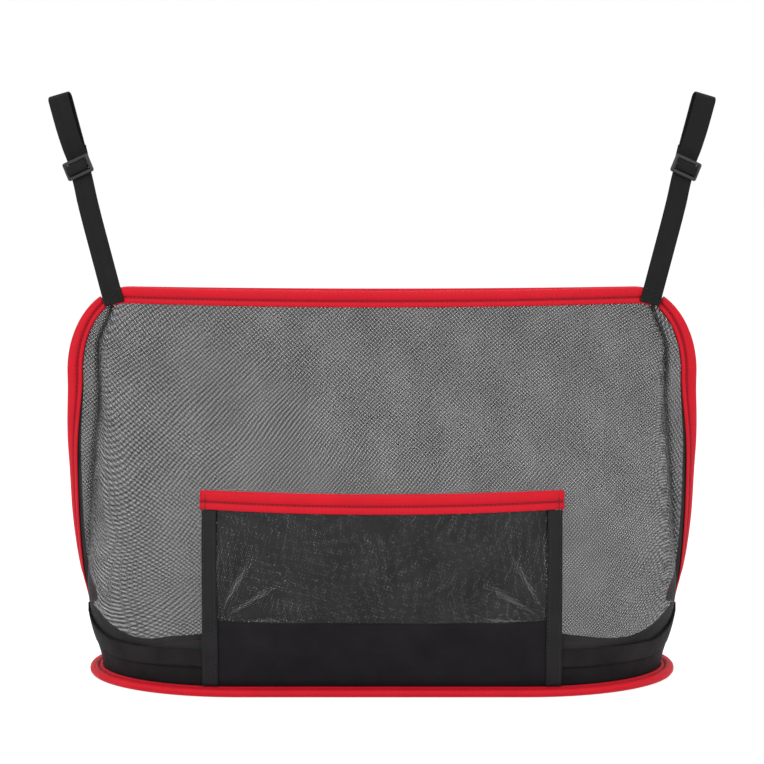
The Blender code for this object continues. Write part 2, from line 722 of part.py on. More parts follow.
def strap_path():
    """The webbing's own line, (s, n) from its foot, through the slider, round the loop and back."""
    half = WEBBING_THICKNESS / 2
    layer = WEBBING_THICKNESS + GAP
    wrap_n = CENTRE_BAR_THICKNESS / 2 + GAP + half
    wrap_s = CENTRE_BAR / 2 + GAP + half
    run_n = wrap_n + layer
    run_s = wrap_s + layer
    behind = SLIDER_THICKNESS / 2 + 2 * GAP + half
    at = SLIDER_AT
    bar = CENTRE_BAR / 2 + SLOT
    edge = SLIDER_HEIGHT / 2
    top = STRAP_LENGTH - LOOP_BACK
    path = [(0.0, 0.0), (0.3 * at, 0.0), (0.72 * at, 0.0)]
    path += [(at - edge - 0.004, -behind), (at - bar - 0.0008, -behind)]
    path += [(at - run_s, -behind + 0.0006), (at - run_s, run_n - 0.0008), (at - run_s + 0.0010, run_n)]
    path += [(at, run_n + 0.0001), (at + run_s - 0.0010, run_n)]
    path += [(at + run_s, run_n - 0.0008), (at + run_s, -behind + 0.0006), (at + bar + 0.0008, -behind)]
    path += [(at + edge + 0.002, -behind), (at + 0.014, 0.0), (mix(at, top, 0.55), LOOP_FRONT * 0.85)]
    path += [(top - 0.004, LOOP_FRONT)]
    middle = (LOOP_FRONT - LOOP_BACK) / 2
    radius = (LOOP_FRONT + LOOP_BACK) / 2
    path += arc((top, middle), radius, 90, -90, 8)
    back = behind + layer
    tail = back + layer
    path += [(mix(at, top, 0.55), -LOOP_BACK), (at + SEWN_TAIL + 0.003, -back - 0.0006)]
    path += [(at + edge, -back), (at + bar, -back), (at + wrap_s + 0.0006, -back + 0.0005)]
    path += [(at + wrap_s, -wrap_n), (at + wrap_s, wrap_n - 0.0007), (at + wrap_s - 0.0007, wrap_n)]
    path += [(at - wrap_s + 0.0007, wrap_n), (at - wrap_s, wrap_n - 0.0007), (at - wrap_s, -back + 0.0004)]
    path += [(at - wrap_s + 0.0006, -tail + 0.0004), (at - wrap_s + 0.0014, -tail), (at + edge, -tail)]
    path += [(at + SEWN_TAIL, -tail - 0.0006)]
    return path


def ribbon(path, width, thickness, shear):
    """Webbing along a path: shear(s) moves its two edges apart along s."""
    left, right = [], []
    for i, (s, n) in enumerate(path):
        before = Vector(path[i]) - Vector(path[max(i - 1, 0)])
        after = Vector(path[min(i + 1, len(path) - 1)]) - Vector(path[i])
        a = before.normalized() if before.length else after.normalized()
        b = after.normalized() if after.length else a
        along = (a + b).normalized()
        aside = Vector((-along.y, along.x)) * (thickness / 2 / max(0.6, along.dot(b)))
        left.append(Vector((s, n)) + aside)
        right.append(Vector((s, n)) - aside)
    rings = []
    for i, (s, n) in enumerate(path):
        corners = []
        for across, face in ((-1, left), (1, left), (1, right), (-1, right)):
            moved = face[i].x + shear(s) * across * width / 2
            corners.append(Vector((across * width / 2, -face[i].y, moved)))
        rings.append(corners)
    return loft(rings)


def make_strap(name, hand, finish, where):
    def shear(s):
        near = 1 - smooth(0.010, 0.022, abs(s - SLIDER_AT))
        return -hand * math.tan(SLIDER_SKEW) * near

    obj = add_object(name, ribbon(strap_path(), WEBBING_WIDTH, WEBBING_THICKNESS, shear), finish, where)
    obj.matrix_world = strap_frame(hand)
    return obj


def box(size, middle):
    bm = bmesh.new()
    bmesh.ops.create_cube(bm, size=1.0)
    bmesh.ops.scale(bm, vec=size, verts=bm.verts)
    bmesh.ops.translate(bm, vec=middle, verts=bm.verts)
    return bm


def make_slider(name, hand, finish, where, cutters):
    """A plate with two slots, so that it has two outer bars and a thinner one between them."""
    frame = strap_frame(hand) @ Matrix.Translation((0.0, 0.0, SLIDER_AT))
    frame = frame @ Matrix.Rotation(SLIDER_SKEW * hand, 4, "Y")
    obj = add_object(name, box((SLIDER_WIDTH, SLIDER_THICKNESS, SLIDER_HEIGHT), (0, 0, 0)), finish, where)
    obj.matrix_world = frame
    edge = obj.modifiers.new("Rounded edges", "BEVEL")
    edge.width = 0.0007
    edge.segments = 1
    slot_width = SLIDER_WIDTH - 2 * SLOT_SIDE
    slot = (slot_width, 2 * SLIDER_THICKNESS, SLOT)
    cuts = [(slot, (0, 0, up * (CENTRE_BAR + SLOT) / 2)) for up in (-1, 1)]
    thin = (SLIDER_THICKNESS - CENTRE_BAR_THICKNESS) / 2
    depth = SLIDER_THICKNESS
    for face in (-1, 1):
        place = (0, face * (SLIDER_THICKNESS / 2 - thin + depth / 2), 0)
        cuts.append(((slot_width, depth, CENTRE_BAR + SLOT), place))
    for i, (size, middle) in enumerate(cuts):
        cutter = add_object(f"{name}_cutter_{i}", box(size, middle), finish, cutters)
        cutter.matrix_world = frame
        cutter.hide_render = True
        cutter.display_type = "WIRE"
        cut = obj.modifiers.new(f"Cut {i}", "BOOLEAN")
        cut.operation = "DIFFERENCE"
        cut.object = cutter
    return obj


def main():
    clear_scene()
    parts = collection("car_seat_net_pocket")
    cutters = collection("cutters")
    black = material("black_cloth", BLACK, 0.85)
    mesh_black = material("black_net", NET_GREY, 0.7)
    red = material("red_binding", RED, 0.55)
    webbing = material("black_webbing", BLACK, 0.75)
    plastic = material("black_plastic", PLASTIC, 0.4)

    make_base_panel(black, parts)
    make_base_rim(red, parts)
    make_base_skirt(black, parts)
    for hand, word in ((-1, "left"), (1, "right")):
        make_net(f"{word}_front_net", -1, hand, mesh_black, parts)
        make_net(f"{word}_back_net", 1, hand, mesh_black, parts)
    make_top_binding("front_top_binding", -1, red, parts)
    make_top_binding("back_top_binding", 1, red, parts)
    make_pocket_net(mesh_black, parts)
    make_pocket_band(black, parts)
    make_pocket_binding(red, parts)
    for hand, word in ((-1, "left"), (1, "right")):
        make_side_binding(f"{word}_side_binding", hand, red, parts)
        make_pocket_tape(f"{word}_pocket_tape", hand, black, parts)
        make_strap(f"{word}_strap", hand, webbing, parts)
        make_slider(f"{word}_slider", hand, plastic, parts, cutters)


main()
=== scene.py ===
"""Looks of the car seat net pocket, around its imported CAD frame.

Metres, in the frame of the CAD: X across the bag, Y from its front to its back, Z up. The first part
repeats the sizes and curves that the CAD follows, so that every piece lies where its solid is.
"""

import math

import bpy
import numpy as np
from mathutils import Matrix, Vector


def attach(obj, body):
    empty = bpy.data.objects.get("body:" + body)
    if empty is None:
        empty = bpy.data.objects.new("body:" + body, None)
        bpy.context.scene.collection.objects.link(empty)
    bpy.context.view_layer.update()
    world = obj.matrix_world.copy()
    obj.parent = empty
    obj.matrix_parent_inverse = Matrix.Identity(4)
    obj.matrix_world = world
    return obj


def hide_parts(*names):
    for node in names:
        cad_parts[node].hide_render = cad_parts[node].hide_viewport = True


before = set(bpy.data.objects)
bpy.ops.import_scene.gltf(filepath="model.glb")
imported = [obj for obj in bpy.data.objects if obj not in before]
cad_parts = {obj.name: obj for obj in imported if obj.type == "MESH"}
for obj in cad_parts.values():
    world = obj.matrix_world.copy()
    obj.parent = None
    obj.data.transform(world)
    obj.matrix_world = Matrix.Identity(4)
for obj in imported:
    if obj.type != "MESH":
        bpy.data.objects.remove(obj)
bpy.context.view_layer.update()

# Sizes that the CAD follows

GAP = 0.0003
SLACK = 0.00045
NET_THICKNESS = 0.0008
CLOTH_THICKNESS = 0.0010
BINDING_WALL = 0.0008
BASE_LENGTH = 0.394
BASE_DEPTH = 0.112
BASE_CORNER = 0.100
BASE_THICKNESS = 0.004
RIM_WIDTH = 0.009
RIM_HEIGHT = 0.0055
BODY_HEIGHT = 0.271
MOUTH_HALF_GAP = 0.0235
FRONT_SAG = 0.0016
BACK_SAG = 0.0035
SIDE_BULGE = 0.0145
SIDE_PROFILE = (
    (0.0, 0.0), (0.05, 0.1), (0.12, 0.5), (0.18, 0.72), (0.26, 0.9), (0.41, 1.0), (0.58, 0.99), (0.78, 0.84),
)
WING_PROFILE = ((0.18, 0.0), (0.26, 0.0020), (0.41, 0.0064), (0.56, 0.0093), (0.70, 0.0115), (0.78, 0.0115))
MOUTH_INSET = 0.0120
CORNER_LENGTH = 0.045
CORNER_HEIGHT = 0.060
MOUTH_STEP = 0.0030
FOLD_STEP = 0.0100
FOLD_CORNER = 0.0080
BACK_FLATNESS = 4.0
TOP_BINDING = 0.0112
SIDE_BINDING = 0.0108
SIDE_BINDING_NECK = 0.0078
SIDE_BINDING_START = math.radians(62)
FIN_TURN = ((0.185, 90.0), (0.256, 72.0), (0.40, 54.0), (0.55, 44.0), (0.72, 12.0), (0.78, 0.0))
FIN_ROOT = 0.0042
SKIRT_FRONT = 0.030
SKIRT_BACK = 0.0095
SKIRT_TIP = 0.048
TIP_RUN_FRONT = 0.036
TIP_RUN_BACK = 0.052
POCKET_WIDTH = 0.240
POCKET_TOP = 0.137
POCKET_BAND = 0.051
POCKET_BINDING = 0.0125
POCKET_BINDING_LAP = 0.0015
POCKET_BULGE = 0.012
TAPE_WIDTH = 0.010
WEBBING_WIDTH = 0.015
WEBBING_THICKNESS = 0.0010
FOOT_INSET = 0.0020
FOOT_BELOW = -0.0010
STRAP_LEAN = math.radians(14.6)
STRAP_YAW = math.radians(13.0)
STRAP_LENGTH = 0.1465
SLIDER_AT = 0.0954
SLIDER_WIDTH = 0.0200
SLIDER_HEIGHT = 0.0128
SLIDER_THICKNESS = 0.0024
SLIDER_SKEW = math.radians(8.0)
CENTRE_BAR = 0.0022
CENTRE_BAR_THICKNESS = 0.0016
SLOT = 0.0029
SLOT_SIDE = 0.0027
LOOP_FRONT = 0.0024
LOOP_BACK = 0.0040
SEWN_TAIL = 0.013

LAYER_STEP = (NET_THICKNESS + SLACK) / 2
SKIRT_OFFSET = NET_THICKNESS / 2 + GAP + CLOTH_THICKNESS / 2
POCKET_OFFSET = SKIRT_OFFSET + CLOTH_THICKNESS / 2 + GAP + CLOTH_THICKNESS / 2
TAPE_OFFSET = POCKET_OFFSET + CLOTH_THICKNESS + GAP
FLOOR_TOP = BASE_THICKNESS + GAP
RIM_TOP = RIM_HEIGHT + GAP
FOLD_AT_MOUTH = BASE_LENGTH / 2 - MOUTH_INSET
FOOT_X = FOLD_AT_MOUTH - FOOT_INSET
LOW_HALF_LENGTH = BASE_LENGTH / 2 - GAP - CLOTH_THICKNESS / 2 - SKIRT_OFFSET - LAYER_STEP
LOW_HALF_DEPTH = BASE_DEPTH / 2 - GAP - CLOTH_THICKNESS / 2 - SKIRT_OFFSET
SEAM_AT_CORNER = LOW_HALF_LENGTH + SIDE_BULGE * SIDE_PROFILE[-1][1]
CORNER_X = SEAM_AT_CORNER - (CORNER_LENGTH - SIDE_BINDING)
CORNER_Z = BODY_HEIGHT - CORNER_HEIGHT
SINGLE_SLOT = NET_THICKNESS / 2 + SLACK
DOUBLE_SLOT = LAYER_STEP + SINGLE_SLOT


# Curves that the CAD follows


def through(points, x):
    if x <= points[0][0]:
        return points[0][1]
    if x >= points[-1][0]:
        return points[-1][1]
    i = next(k for k in range(len(points) - 1) if x <= points[k + 1][0])

    def slope(k):
        if k == 0 or k == len(points) - 1:
            return 0.0
        return (points[k + 1][1] - points[k - 1][1]) / (points[k + 1][0] - points[k - 1][0])

    (x0, y0), (x1, y1) = points[i], points[i + 1]
    run = x1 - x0
    t = (x - x0) / run
    rise = (1 + 2 * t) * (1 - t) ** 2 * y0 + t * t * (3 - 2 * t) * y1
    return rise + run * (t * (1 - t) ** 2 * slope(i) - t * t * (1 - t) * slope(i + 1))


def smooth(low, high, x):
    t = min(max((x - low) / (high - low), 0.0), 1.0)
    return t * t * (3 - 2 * t)


def mix(a, b, t):
    return a + (b - a) * t


def spaced(low, high, count):
    return [mix(low, high, i / (count - 1)) for i in range(count)]


def seam_x(z):
    if z > CORNER_Z:
        rise = min((z - CORNER_Z) / (CORNER_HEIGHT - SIDE_BINDING_NECK), 1.0)
        return CORNER_X + (CORNER_LENGTH - SIDE_BINDING) * math.sqrt(1 - rise * rise)
    return LOW_HALF_LENGTH + SIDE_BULGE * through(SIDE_PROFILE, z / BODY_HEIGHT)


def fold_x(z):
    wing = through(WING_PROFILE, z / BODY_HEIGHT)
    side = LOW_HALF_LENGTH + SIDE_BULGE * through(SIDE_PROFILE, z / BODY_HEIGHT)
    return mix(side - wing, FOLD_AT_MOUTH, smooth(0.84, 0.96, z / BODY_HEIGHT))


def fin_turn(z):
    return math.radians(through(FIN_TURN, z / BODY_HEIGHT))


def fin_root(z):
    return FIN_ROOT * smooth(0.0, 1.0, math.sin(fin_turn(z)))


def half_depth(z):
    return mix(LOW_HALF_DEPTH, MOUTH_HALF_GAP, smooth(0.40, 1.02, z / BODY_HEIGHT))


SECTIONS = {}


def section(z, side):
    """(points, lengths) of half the bag's outline at height z, from the middle to the side seam."""
    key = (round(z, 6), side)
    if key in SECTIONS:
        return SECTIONS[key]
    depth = half_depth(z)
    rise = z / BODY_HEIGHT
    fold = fold_x(z)
    step = mix(depth, FOLD_STEP, smooth(0.06, 0.80, rise))
    step = mix(step, MOUTH_STEP, smooth(0.86, 0.97, rise))
    corner = mix(BASE_CORNER - (LOW_HALF_DEPTH - depth), FOLD_CORNER, smooth(0.05, 0.80, rise))
    start = fold - corner
    pointed = smooth(0.05, 0.19, rise) if side > 0 else 0.0
    xs = [start * i / 16 for i in range(16)]
    xs += [start + corner * math.sin(math.pi / 2 * i / 14) for i in range(15)]
    points = []
    for x in xs:
        across = x / fold
        round_part = step * math.sqrt(max(0.0, 1 - (max(x - start, 0.0) / corner) ** 2))
        arc_part = (depth - step) * (1 - across * across)
        sharp = depth * (1 - across ** mix(BACK_FLATNESS, 2.0, smooth(0.4, 1.0, rise)))
        points.append(Vector((x, side * mix(round_part + arc_part, sharp, pointed), z)))
    seam = seam_x(z)
    if seam > fold + 1e-5:
        points += [Vector((mix(fold, seam, i / 4), 0.0, z)) for i in range(1, 5)]
    turn = fin_turn(z)
    apart = Vector((math.sin(turn), -math.cos(turn), 0.0)) * LAYER_STEP * -side
    for p in points:
        p += apart * smooth(fold - 0.020, fold - 0.002, p.x)
    lengths = [0.0]
    for a, b in zip(points, points[1:]):
        lengths.append(lengths[-1] + (b - a).length)
    SECTIONS[key] = points, lengths
    return SECTIONS[key]


def seam_length(z, side):
    return section(z, side)[1][-1]


def on_body(s, z, side):
    points, lengths = section(z, side)
    reach = abs(s)
    if reach >= lengths[-1]:
        turn = fin_turn(z)
        p = points[-1] + Vector((math.cos(turn), math.sin(turn), 0.0)) * (reach - lengths[-1])
    else:
        i = next(k for k in range(len(lengths) - 1) if reach <= lengths[k + 1])
        p = points[i].lerp(points[i + 1], (reach - lengths[i]) / (lengths[i + 1] - lengths[i]))
    return Vector((math.copysign(p.x, s) if s else p.x, p.y, p.z))


def normal_on_body(s, z, side):
    e = 0.0015
    z0, z1 = max(z - e, 0.0), z + e
    across = on_body(s + e, z, side) - on_body(s - e, z, side)
    up = on_body(s, z1, side) - on_body(s, z0, side)
    return (across.cross(up) * -side).normalized()


def off_body(s, z, side, offset):
    return on_body(s, z, side) + normal_on_body(s, z, side) * offset


def length_at(x, z, side):
    points, lengths = section(z, side)
    if x >= points[-1].x:
        return lengths[-1] + x - points[-1].x
    i = next(k for k in range(len(points) - 1) if x <= points[k + 1].x)
    return mix(lengths[i], lengths[i + 1], (x - points[i].x) / (points[i + 1].x - points[i].x))


def mouth_z(x, side):
    sag = FRONT_SAG if side < 0 else BACK_SAG
    past = min(max(abs(x) - CORNER_X, 0.0) / CORNER_LENGTH, 1.0)
    round_top = CORNER_Z + CORNER_HEIGHT * math.sqrt(1 - past * past)
    return round_top - sag * max(0.0, 1 - (x / FOLD_AT_MOUTH) ** 2)


def along_mouth(x, side, below):
    z = mouth_z(x, side) - below
    return math.copysign(length_at(abs(x), z, side), x), z


def skirt_height(s, side):
    from_seam = seam_length(FLOOR_TOP, side) - abs(s)
    level, run, power = (SKIRT_FRONT, TIP_RUN_FRONT, 1.5) if side < 0 else (SKIRT_BACK, TIP_RUN_BACK, 2.0)
    near = max(0.0, 1 - from_seam / run)
    return level + (SKIRT_TIP - level) * near**power


def pocket_offset(s, z):
    across = max(0.0, 1 - (2 * s / POCKET_WIDTH) ** 4)
    return POCKET_OFFSET + POCKET_BULGE * across * smooth(RIM_TOP, 0.62 * POCKET_TOP, z)


def base_outline(grow, per_corner):
    """The oval of the base, grown outwards by grow, as (x, y) points."""
    half_length, half_width = BASE_LENGTH / 2, BASE_DEPTH / 2
    straight = half_length - BASE_CORNER
    quarter = []
    for i in range(per_corner):
        a = math.pi / 2 * i / (per_corner - 1)
        out = Vector((math.cos(a) / BASE_CORNER, math.sin(a) / half_width)).normalized()
        quarter.append(Vector((straight + BASE_CORNER * math.cos(a), half_width * math.sin(a))) + out * grow)
    middle = [Vector((mix(straight, -straight, i / 24), half_width + grow)) for i in range(1, 24)]
    half = quarter + middle + [Vector((-p.x, p.y)) for p in reversed(quarter)]
    return half + [Vector((p.x, -p.y)) for p in reversed(half[1:-1])]


# A wall of the bag as a table, so that many points are placed at once


def ripple(s, z):
    """A slow unevenness from -1 to 1, different at every place."""
    return (
        np.sin(31.0 * s + 17.0 * z + 0.7) * np.sin(23.0 * z - 11.0 * s + 1.9)
        + 0.6 * np.sin(67.0 * s - 29.0 * z + 2.1) * np.sin(53.0 * z + 13.0 * s + 0.4)
    ) / 1.6


def ripple_at(s, z):
    return float(ripple(s, z))


class Wall:
    """Places and normals of one wall over (along the cloth, height)."""

    STEP = 0.0015

    def __init__(self, side):
        self.side = side
        self.s = np.arange(0.0, 0.300, self.STEP)
        self.z = np.arange(0.0, BODY_HEIGHT + 0.006, self.STEP)
        table = np.zeros((len(self.z), len(self.s), 3))
        for row, z in enumerate(self.z):
            points, lengths = section(float(z), side)
            turn = fin_turn(float(z))
            far = points[-1] + Vector((math.cos(turn), math.sin(turn), 0.0)) * 0.06
            xs = [p.x for p in points] + [far.x]
            ys = [p.y for p in points] + [far.y]
            run = lengths + [lengths[-1] + 0.06]
            table[row, :, 0] = np.interp(self.s, run, xs)
            table[row, :, 1] = np.interp(self.s, run, ys)
            table[row, :, 2] = z
        self.table = table
        across = np.gradient(table, axis=1)
        up = np.gradient(table, axis=0)
        across[:, 0, 1] = 0.0
        normals = np.cross(across, up) * -side
        length = np.linalg.norm(normals, axis=2, keepdims=True)
        self.normals = normals / np.maximum(length, 1e-12)

    def look_up(self, table, s, z):
        a = np.clip(np.abs(s) / self.STEP, 0, len(self.s) - 1.001)
        b = np.clip(z / self.STEP, 0, len(self.z) - 1.001)
        i, j = a.astype(int), b.astype(int)
        u, v = (a - i)[:, None], (b - j)[:, None]
        low = table[j, i] * (1 - u) + table[j, i + 1] * u
        high = table[j + 1, i] * (1 - u) + table[j + 1, i + 1] * u
        found = low * (1 - v) + high * v
        found[:, 0] *= np.sign(s) + (s == 0)
        return found

    def place(self, s, z, offset):
        """Points over (s, z), moved out by offset."""
        return self.look_up(self.table, s, z) + self.look_up(self.normals, s, z) * np.asarray(offset)[:, None]


FRONT = Wall(-1)
BACK = Wall(1)


# Scene and mesh helpers


HANDS = ((-1, "left"), (1, "right"))


def new_piece(name, verts, faces, finish, replaced=(), uv=None, painted_shade=None):
    """A mesh piece that rides on the object. uv is one (u, v) for each corner of each face, in metres.

    The last argument is a painted shade at each point, from 0 to 1: the colour darkened in sewn or folded
    grooves and on faces that lie in shade.
    """
    mesh = bpy.data.meshes.new(name)
    mesh.from_pydata(verts, [], faces)
    # Each point keeps its painted shade as an attribute, which the materials use to darken the colour.
    if painted_shade is not None:
        depth = mesh.attributes.new("painted_shade", "FLOAT", "POINT")
        depth.data.foreach_set("value", np.asarray(painted_shade, np.float32))
    if uv is not None:
        mesh.uv_layers.new(name="cloth").data.foreach_set("uv", np.asarray(uv, np.float32).ravel())
    mesh.polygons.foreach_set("use_smooth", [True] * len(mesh.polygons))
    mesh.materials.append(finish)
    mesh.update()
    obj = bpy.data.objects.new(name, mesh)
    bpy.context.scene.collection.objects.link(obj)
    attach(obj, "root")
    if replaced:
        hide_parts(*replaced)
    return obj


def swept(rings, closed=False):
    """(verts, faces, uv) of a skin over rings of equally many points, u along them and v round them."""
    rings = [[Vector(p) for p in ring] for ring in rings]
    count = len(rings[0])
    verts = [tuple(p) for ring in rings for p in ring]
    u = [0.0]
    for one, two in zip(rings, rings[1:] + rings[:1]):
        u.append(u[-1] + (sum(two, Vector()) - sum(one, Vector())).length / count)
    v = [0.0]
    for i in range(count):
        v.append(v[-1] + (rings[0][(i + 1) % count] - rings[0][i]).length)
    faces, uv = [], []
    for r in range(len(rings) if closed else len(rings) - 1):
        n = (r + 1) % len(rings)
        for i in range(count):
            j = (i + 1) % count
            faces.append((r * count + i, r * count + j, n * count + j, n * count + i))
            uv += [(u[r], v[i]), (u[r], v[i + 1]), (u[r + 1], v[i + 1]), (u[r + 1], v[i])]
    if not closed:
        last = (len(rings) - 1) * count
        faces.append(tuple(reversed(range(count))))
        faces.append(tuple(range(last, last + count)))
        uv += [(u[0], v[i]) for i in reversed(range(count))] + [(u[-2], v[i]) for i in range(count)]
    return verts, faces, uv


def outward(verts, faces):
    """Whether the faces together look outward."""
    total = 0.0
    for face in faces:
        a = Vector(verts[face[0]])
        for i in range(1, len(face) - 1):
            total += a.dot(Vector(verts[face[i]]).cross(Vector(verts[face[i + 1]])))
    return total > 0


def swept_piece(name, rings, finish, replaced=(), closed=False, painted_shade=None):
    """A skin over rings. The last argument is a painted shade, one number for each point of a ring."""
    verts, faces, uv = swept(rings, closed)
    if not outward(verts, faces):
        turned, at = [], 0
        for face in faces:
            turned += uv[at : at + len(face)][::-1]
            at += len(face)
        faces, uv = [face[::-1] for face in faces], turned
    painted_shade_points = None if painted_shade is None else list(painted_shade) * len(rings)
    return new_piece(name, verts, faces, finish, replaced, uv, painted_shade_points)


# Materials


class Tree:
    """The nodes of a material or a world, with short ways to add to them."""

    def __init__(self, owner):
        owner.use_nodes = True
        self.nodes = owner.node_tree.nodes
        self.links = owner.node_tree.links

    def set(self, node, values):
        for key, value in values.items():
            if isinstance(value, bpy.types.NodeSocket):
                self.links.new(value, node.inputs[key])
            else:
                node.inputs[key].default_value = value

    def add(self, kind, values=(), out=0, **settings):
        node = self.nodes.new(kind)
        for key, value in settings.items():
            setattr(node, key, value)
        self.set(node, dict(values))
        return node.outputs[out]

    def math(self, operation, a, b=0.0):
        return self.add("ShaderNodeMath", {0: a, 1: b}, operation=operation)

    def plus(self, a, b):
        return self.math("ADD", a, b)

    def times(self, a, b):
        return self.math("MULTIPLY", a, b)

    def show(self, output, others, seen):
        """End in seen for rays from the camera, a gloss or a clear material, and in others for the rest."""
        path = self.add("ShaderNodeLightPath").node.outputs
        first = self.math("MAXIMUM", path["Is Camera Ray"], path["Is Glossy Ray"])
        direct = self.math("MAXIMUM", first, path["Is Transmission Ray"])
        pick = self.add("ShaderNodeMixShader", {0: direct, 1: others, 2: seen})
        self.set(self.nodes.new(output), {0: pick})


class Finish(Tree):
    """A material of one colour, with the patterns that several of them share."""

    def __init__(self, name, colour, roughness, specular, sheen=0.0, sheen_tint=(1.0, 1.0, 1.0)):
        self.material = bpy.data.materials.new(name)
        super().__init__(self.material)
        self.shader = self.nodes["Principled BSDF"]
        self.colour = colour
        self.set(self.shader, {
            "Base Color": (*colour, 1.0),
            "Roughness": roughness,
            "Specular IOR Level": specular,
            "Sheen Weight": sheen,
            "Sheen Roughness": 0.4,
            "Sheen Tint": (*sheen_tint, 1.0),
        })

    def uv(self):
        """(u, v) along and across the cloth, in metres."""
        both = self.add("ShaderNodeSeparateXYZ", {0: self.add("ShaderNodeUVMap", uv_map="cloth")})
        return both.node.outputs[0], both.node.outputs[1]

    # Painted shade: the number from 0 to 1 that each point carries.
    def painted_shade(self):
        return self.add("ShaderNodeAttribute", out=2, attribute_name="painted_shade")

    def noise(self, scale, detail=2.0, low=0.0, high=1.0):
        """Noise at scale per metre, spread over low to high."""
        place = self.add("ShaderNodeTexCoord", out=3)
        raw = self.add("ShaderNodeTexNoise", {"Vector": place, "Scale": scale, "Detail": detail})
        return self.add("ShaderNodeMapRange", {0: raw, 1: 0.3, 2: 0.7, 3: low, 4: high})

    def spread(self, x, low, high):
        return self.add("ShaderNodeMapRange", {0: x, 3: low, 4: high})

    def wave(self, x, pitch):
        return self.math("SINE", self.times(x, math.pi / pitch))

    def bars(self, x, pitch):
        """Round threads across x, a pitch apart, from 0 to 1."""
        return self.math("ABSOLUTE", self.wave(x, pitch))

    def plain_weave(self, u, v, pitch):
        """Threads over and under each other, from 0 to 1."""
        first, second = self.wave(u, pitch), self.wave(v, pitch)
        over = self.math("GREATER_THAN", self.times(first, second), 0.0)
        values = {"Factor": over, 2: self.math("ABSOLUTE", first), 3: self.math("ABSOLUTE", second)}
        return self.add("ShaderNodeMix", values, data_type="FLOAT")

    def scaled(self, k):
        return (*(min(1.0, c * k) for c in self.colour), 1.0)

    def mixed(self, amount, a, b):
        return self.add("ShaderNodeMix", {"Factor": amount, 6: a, 7: b}, out=2, data_type="RGBA")

    def shades(self, amount, dark, light):
        """From dark to light times the colour, over an amount from 0 to 1."""
        return self.mixed(amount, self.scaled(dark), self.scaled(light))

    def look(self, colour, roughness, height, distance, strength):
        """The material with this colour and roughness, and height as its bump."""
        bump = self.add("ShaderNodeBump", {"Height": height, "Distance": distance, "Strength": strength})
        self.set(self.shader, {"Base Color": colour, "Roughness": roughness, "Normal": bump})
        return self.material


def net_finish(name, colour):
    f = Finish(name, colour, 0.6, specular=0.2)
    grain = f.noise(2600.0, 3.0)
    tone = f.times(grain, f.noise(45.0, 3.0))
    return f.look(f.shades(tone, 0.6, 1.7), f.spread(grain, 0.45, 0.7), grain, 0.00006, 0.6)


def cloth_finish(name, colour, pitch, uneven):
    f = Finish(name, colour, 0.72, specular=0.12, sheen=0.03)
    weave = f.plain_weave(*f.uv(), pitch)
    tone = f.times(f.plus(f.times(weave, 0.6), 0.4), f.noise(38.0, 4.0))
    # Painted shade: where the points carry it, the colour darkens to 0.22 of itself.
    base = f.mixed(f.painted_shade(), f.shades(tone, 1 - uneven, 1 + uneven), f.scaled(0.22))
    height = f.plus(weave, f.times(f.noise(1500.0, 3.0), 0.35))
    return f.look(base, f.noise(60.0, 2.0, low=0.62, high=0.82), height, pitch * 0.22, 0.7)


def binding_finish(name, colour):
    """Grosgrain tape: fine ribs across it, with painted shade between them, a little fibre and fading."""
    f = Finish(name, colour, 0.5, specular=0.2, sheen=0.10, sheen_tint=(1.0, 0.30, 0.32))
    wander = f.times(f.noise(700.0, 2.0, low=-1.0, high=1.0), 0.00006)
    ribs = f.bars(f.plus(f.uv()[0], wander), 0.00085)
    fibre = f.noise(2400.0, 3.0)
    faded = f.times(f.noise(55.0, 4.0), fibre)
    # Painted shade between the ribs, and a random tone from the fibre and fading.
    lit = f.shades(f.plus(f.times(ribs, 0.45), f.times(faded, 0.55)), 0.78, 1.12)
    # Painted shade for the sewn groove, the inner faces and the edges: a deep red that the colour darkens
    # towards.
    painted_shade_colour = (colour[0] * 0.32, colour[1] * 0.5, colour[2] * 0.5, 1.0)
    base = f.mixed(f.times(f.painted_shade(), 0.85), lit, painted_shade_colour)
    height = f.plus(ribs, f.times(fibre, 0.3))
    return f.look(base, f.spread(fibre, 0.42, 0.62), height, 0.00016, 0.8)


def webbing_finish(name, colour):
    """Close webbing: a chevron twill along the strap, and fine threads along it."""
    f = Finish(name, colour, 0.66, specular=0.14, sheen=0.02)
    u, v = f.uv()
    twill = f.bars(f.plus(u, f.math("PINGPONG", v, 0.00375)), 0.0011)
    height = f.plus(f.times(twill, 0.7), f.times(f.bars(v, 0.0006), 0.3))
    fibre = f.noise(2200.0, 3.0)
    tone = f.times(height, f.noise(70.0, 3.0, low=0.5, high=1.1))
    rough = f.spread(fibre, 0.5, 0.75)
    return f.look(f.shades(tone, 0.6, 1.55), rough, f.plus(height, f.times(fibre, 0.25)), 0.0002, 0.8)


def plastic_finish(name, colour):
    f = Finish(name, colour, 0.34, specular=0.42)
    rubbed = f.noise(160.0, 5.0)
    rough = f.spread(rubbed, 0.3, 0.46)
    return f.look(f.shades(rubbed, 0.8, 1.35), rough, f.noise(1800.0, 4.0), 0.00002, 0.5)


def thread_finish(name, colour):
    f = Finish(name, colour, 0.55, specular=0.3, sheen=0.15)
    strands = f.noise(3500.0, 2.0)
    return f.look(f.shades(strands, 0.7, 1.3), 0.55, strands, 0.00005, 0.7)


